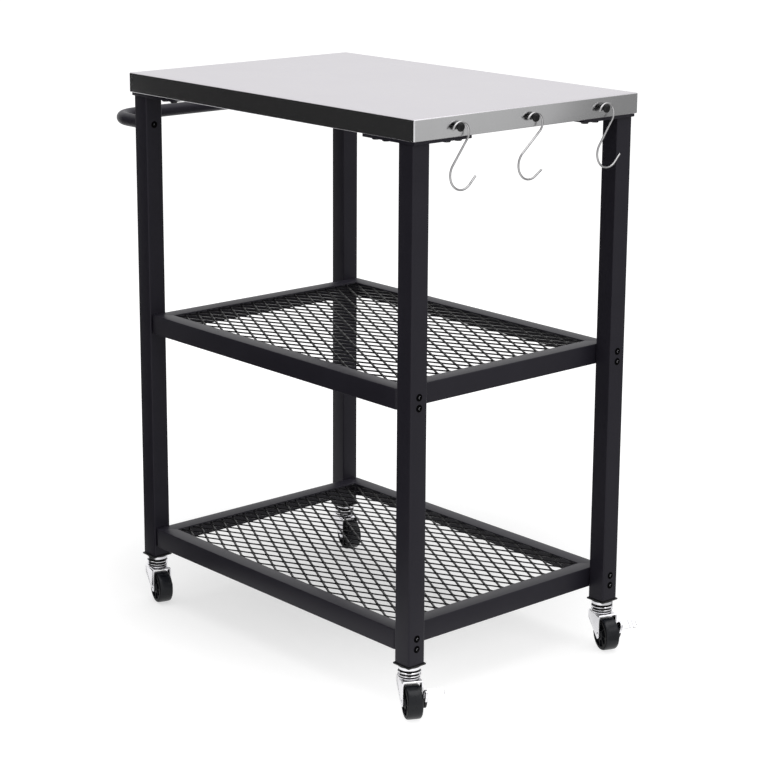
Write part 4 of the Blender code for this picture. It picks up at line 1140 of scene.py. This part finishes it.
def tab_rings(place):
    """Slices of the foot tab, with ridges on top and a narrower, thinner end."""
    up = Vector((math.cos(BRAKE_ANGLE), 0, math.sin(BRAKE_ANGLE)))
    across = Vector((up.z, 0, -up.x))
    rings = []
    for index in range(TAB_SLICES + 1):
        share = index / TAB_SLICES
        along = CAM_INNER + TAB_START + (TAB_END - TAB_START) * share
        wave = math.sin(share * RIDGE_WAVES * math.pi)
        ridge = RIDGE * max(0.0, wave) if share > RIDGES_FROM else 0.0
        narrow = max(0.0, (share - NARROW_FROM) / (1 - NARROW_FROM)) ** 2
        thin = max(0.0, (share - THIN_FROM) / (1 - THIN_FROM))
        half = TAB_HALF_WIDTH * (1 - 0.5 * narrow)
        thick = TAB_HALF_THICKNESS * (1 - 0.4 * thin)
        ring = []
        for side, lift in ((-1, -1), (-0.94, -1), (0.94, -1), (1, -1), (1, 1), (0.94, 1),
                           (0, 1), (-0.94, 1), (-1, 1)):
            height = lift * thick * (0.55 if abs(side) == 1 else 1.0)
            if lift > 0 and abs(side) < 1:
                height += ridge
            ring.append(place @ (across * side * half + up * (BRAKE_ARM + height)
                                 + Vector((0, along, 0))))
        rings.append(ring)
    return rings


# %% Brakes on two casters
for name in BRAKED:
    place = hub_place(name)
    back = place.inverted()

    def on_plate(face):
        """One for a face of the plate, which is black, and not of the bright tab."""
        local = back @ face.center
        near = math.hypot(local.x, local.z) < BRAKE_HUB + 2.5 * MM
        return int(near and local.y < CAM_OUTER + 0.1 * MM)

    work = loft(tab_rings(place), work=loft(plate_rings(place), closed=True))
    add_piece("brake_" + name, work, (CASTER_ZINC, PLUG_BLACK_AND_GROOVE_SHADE), "brake_" + name,
              ["brake_lever_" + name], on_plate)

# %% [markdown]
# ## Floor, light and camera
#
# The photograph has a white ground that fades into a white background. The floor is a pale
# grey that lights the cart as real floor would, and adds enough glow for the camera and for
# reflections to reach white. The glow is weaker under the cart, a painted shadow that adds to
# the soft real shadow there.

# %% Floor
FLOOR_GREY, FLOOR_PALE, FLOOR_SPREAD = 0.32, 0.50, 0.005
PAINTED_SHADOW_GLOW, GLOW_AROUND = 0.52, 0.84
GLOW_REACH = 0.80
GLOW_CENTRE = (-0.18, 0.16)
FLOOR_HALF = 14.0


def seen_or_mirrored(sheet):
    """One where a ray comes from the camera, a reflection or a clear material."""
    path = sheet.node("ShaderNodeLightPath", output="Is Camera Ray")
    both = path.maths("MAXIMUM", path, path.pick("Is Glossy Ray"))
    return both.maths("MAXIMUM", both, path.pick("Is Transmission Ray"))


def staged(name, sheets, finish):
    """Flat sheets on the stage, which isn't part of the cart."""
    work = bmesh.new()
    for points in sheets:
        work.faces.new([work.verts.new(point) for point in points])
    data = bpy.data.meshes.new(name)
    work.to_mesh(data)
    work.free()
    data.materials.append(finish)
    made = link(name, data)
    return made


floor = Finish("studio_floor", specular=0.0)
tone = floor.grain(0.6)


def floor_tone(level):
    return floor.colours(tone, (level - FLOOR_SPREAD,) * 3, (level + FLOOR_SPREAD,) * 3)


floor.feed(Base_Color=floor_tone(FLOOR_GREY), Roughness=0.9)
# The glow dims towards a point near the cart: a painted shadow.
spot = floor.node("ShaderNodeMapping", {
    "Vector": floor.node("ShaderNodeTexCoord", output="Object"), "Scale": (1 / GLOW_REACH,) * 3,
    "Location": (-GLOW_CENTRE[0] / GLOW_REACH, -GLOW_CENTRE[1] / GLOW_REACH, 0)},
    vector_type="POINT")
painted_shadow_mask = floor.node("ShaderNodeTexGradient", {"Vector": spot}, "Fac",
                      gradient_type="SPHERICAL")
painted_shadow_mask = floor.node("ShaderNodeMapRange", {"Value": painted_shadow_mask, 1: 0.10, 2: 0.78},
                      interpolation_type="SMOOTHSTEP")
pale = floor.node("ShaderNodeBsdfPrincipled", {
    "Base Color": floor_tone(FLOOR_PALE), "Roughness": 0.9, "Specular IOR Level": 0.0,
    "Emission Strength": 1.0,
    "Emission Color": floor.colours(painted_shadow_mask, (GLOW_AROUND,) * 3, (PAINTED_SHADOW_GLOW,) * 3)})
mixed = floor.node("ShaderNodeMixShader", {
    0: seen_or_mirrored(floor), 1: Wire(floor, floor.shader.outputs["BSDF"]), 2: pale})
floor.join(mixed, floor.tree.nodes["Material Output"].inputs["Surface"])
staged("studio_floor", [[(side_x * FLOOR_HALF, side_y * FLOOR_HALF, 0)
                         for side_x, side_y in ((-1, -1), (1, -1), (1, 1), (-1, 1))]],
       floor.material)
print("floor", 2 * FLOOR_HALF, "m wide, glow", PAINTED_SHADOW_GLOW, "to", GLOW_AROUND)

# %% [markdown]
# Four unseen panels stand for the darker parts of a real studio. They show only in
# reflections, which is why the long skirt looks dark and the end skirt grey. An upright face
# mirrors the floor near the cart as well as what stands further off, so each panel is a sheet
# on the floor with an upright screen at its far edge. The dark one comes in two parts,
# because the left caster's fork mirrors the floor close by and has to stay bright.

# %% Unseen panels
PANEL_STEPS = 8
SCREEN_FOOT = 2 * MM


def panel(name, level, near, far, start, end, height, lift=SCREEN_FOOT):
    """A sheet on the floor from near to far, between two bearings from +X, and its screen."""
    finish = Finish(name, specular=0.0)
    finish.feed(Base_Color=(0, 0, 0, 1), Roughness=1.0, Emission_Color=(level,) * 3 + (1,),
                Emission_Strength=1.0)
    inner = arc(MIDDLE, near, start, end, PANEL_STEPS)
    outer = arc(MIDDLE, far, end, start, PANEL_STEPS)
    sheets = [[(x, y, lift) for x, y in inner + outer]]
    foot = outer[::-1]
    for (x0, y0), (x1, y1) in zip(foot, foot[1:]):
        sheets.append([(x0, y0, SCREEN_FOOT), (x1, y1, SCREEN_FOOT), (x1, y1, height),
                       (x0, y0, height)])
    made = staged(name, sheets, finish.material)
    for way in ("camera", "diffuse", "shadow", "transmission", "volume_scatter"):
        setattr(made, "visible_" + way, False)
    print(name, "level", level, "from", start, "to", end, "degrees")


panel("dark_panel", 0.034, 0.66, 2.4, 198, 268, 2.6)
panel("dark_panel_near", 0.034, 0.42, 0.66, 213, 268, 4 * MM)
panel("grey_panel", 0.66, 0.42, 3.0, 4, 88, 1.6)
panel("grey_panel_right", 0.33, 0.42, 2.8, 45.8, 84, 1.5, 3 * MM)

# %% [markdown]
# The light is plain and soft: an even white world, which also gives the camera and the
# reflections their white background, one large lamp overhead, and a small one that lifts the
# right-hand side.

# %% Light
WORLD_LEVEL = 0.55
world = bpy.data.worlds.new("studio")
bpy.context.scene.world = world
world.use_nodes = True
sky = Sheet(world.node_tree)
background = world.node_tree.nodes["Background"]
background.inputs["Color"].default_value = (1, 1, 1, 1)
sky.join(seen_or_mirrored(sky) * (1 - WORLD_LEVEL) + WORLD_LEVEL, background.inputs["Strength"])


def soft_lamp(name, place, aim, size, watts):
    """A square lamp that looks at a point."""
    lamp = bpy.data.lights.new(name, "AREA")
    lamp.shape = "SQUARE"
    lamp.size = size
    lamp.energy = watts
    made = link(name, lamp)
    made.location = place
    made.rotation_euler = (Vector(aim) - Vector(place)).to_track_quat("-Z", "Y").to_euler()
    print(name, watts, "W")


soft_lamp("overhead", (0.3, 0.2, 3.2), (0, 0, 0.4), 3.0, 42)
soft_lamp("side_fill", (3.1, 1.0, 1.9), (0, 0, 0.5), 1.8, 9)

# %% [markdown]
# The camera's place, angles and shift come from matching the CAD model's edges to the
# photograph. Its three axes are worked out from the angles and set as one matrix.

# %% Camera
IMAGE = 768
FOCAL_PIXELS = 2192.6
AXIS_ROW = 338.0
YAW, PITCH, ROLL = 0.8471, 0.2437, 0.0058
seat = Vector((2.4443, -2.1411, 1.2667)) + MIDDLE
ahead = Vector((-math.sin(YAW) * math.cos(PITCH), math.cos(YAW) * math.cos(PITCH),
                -math.sin(PITCH)))
level = Vector((math.cos(YAW), math.sin(YAW), 0))
upward = level.cross(ahead)
right = level * math.cos(ROLL) + upward * math.sin(ROLL)
above = upward * math.cos(ROLL) - level * math.sin(ROLL)
lens = bpy.data.cameras.new("photo_camera")
lens.sensor_width = 36.0
lens.lens = FOCAL_PIXELS * lens.sensor_width / IMAGE
lens.shift_y = (AXIS_ROW - IMAGE / 2) / IMAGE
lens.clip_end = 100.0
camera = link("photo_camera", lens)
camera.matrix_world = (Matrix.Translation(seat)
                       @ Matrix((right, above, -ahead)).transposed().to_4x4())
bpy.context.scene.camera = camera
bpy.context.scene.view_settings.view_transform = "Standard"
print("camera", [round(value, 3) for value in seat], "lens", round(lens.lens, 1), "mm")
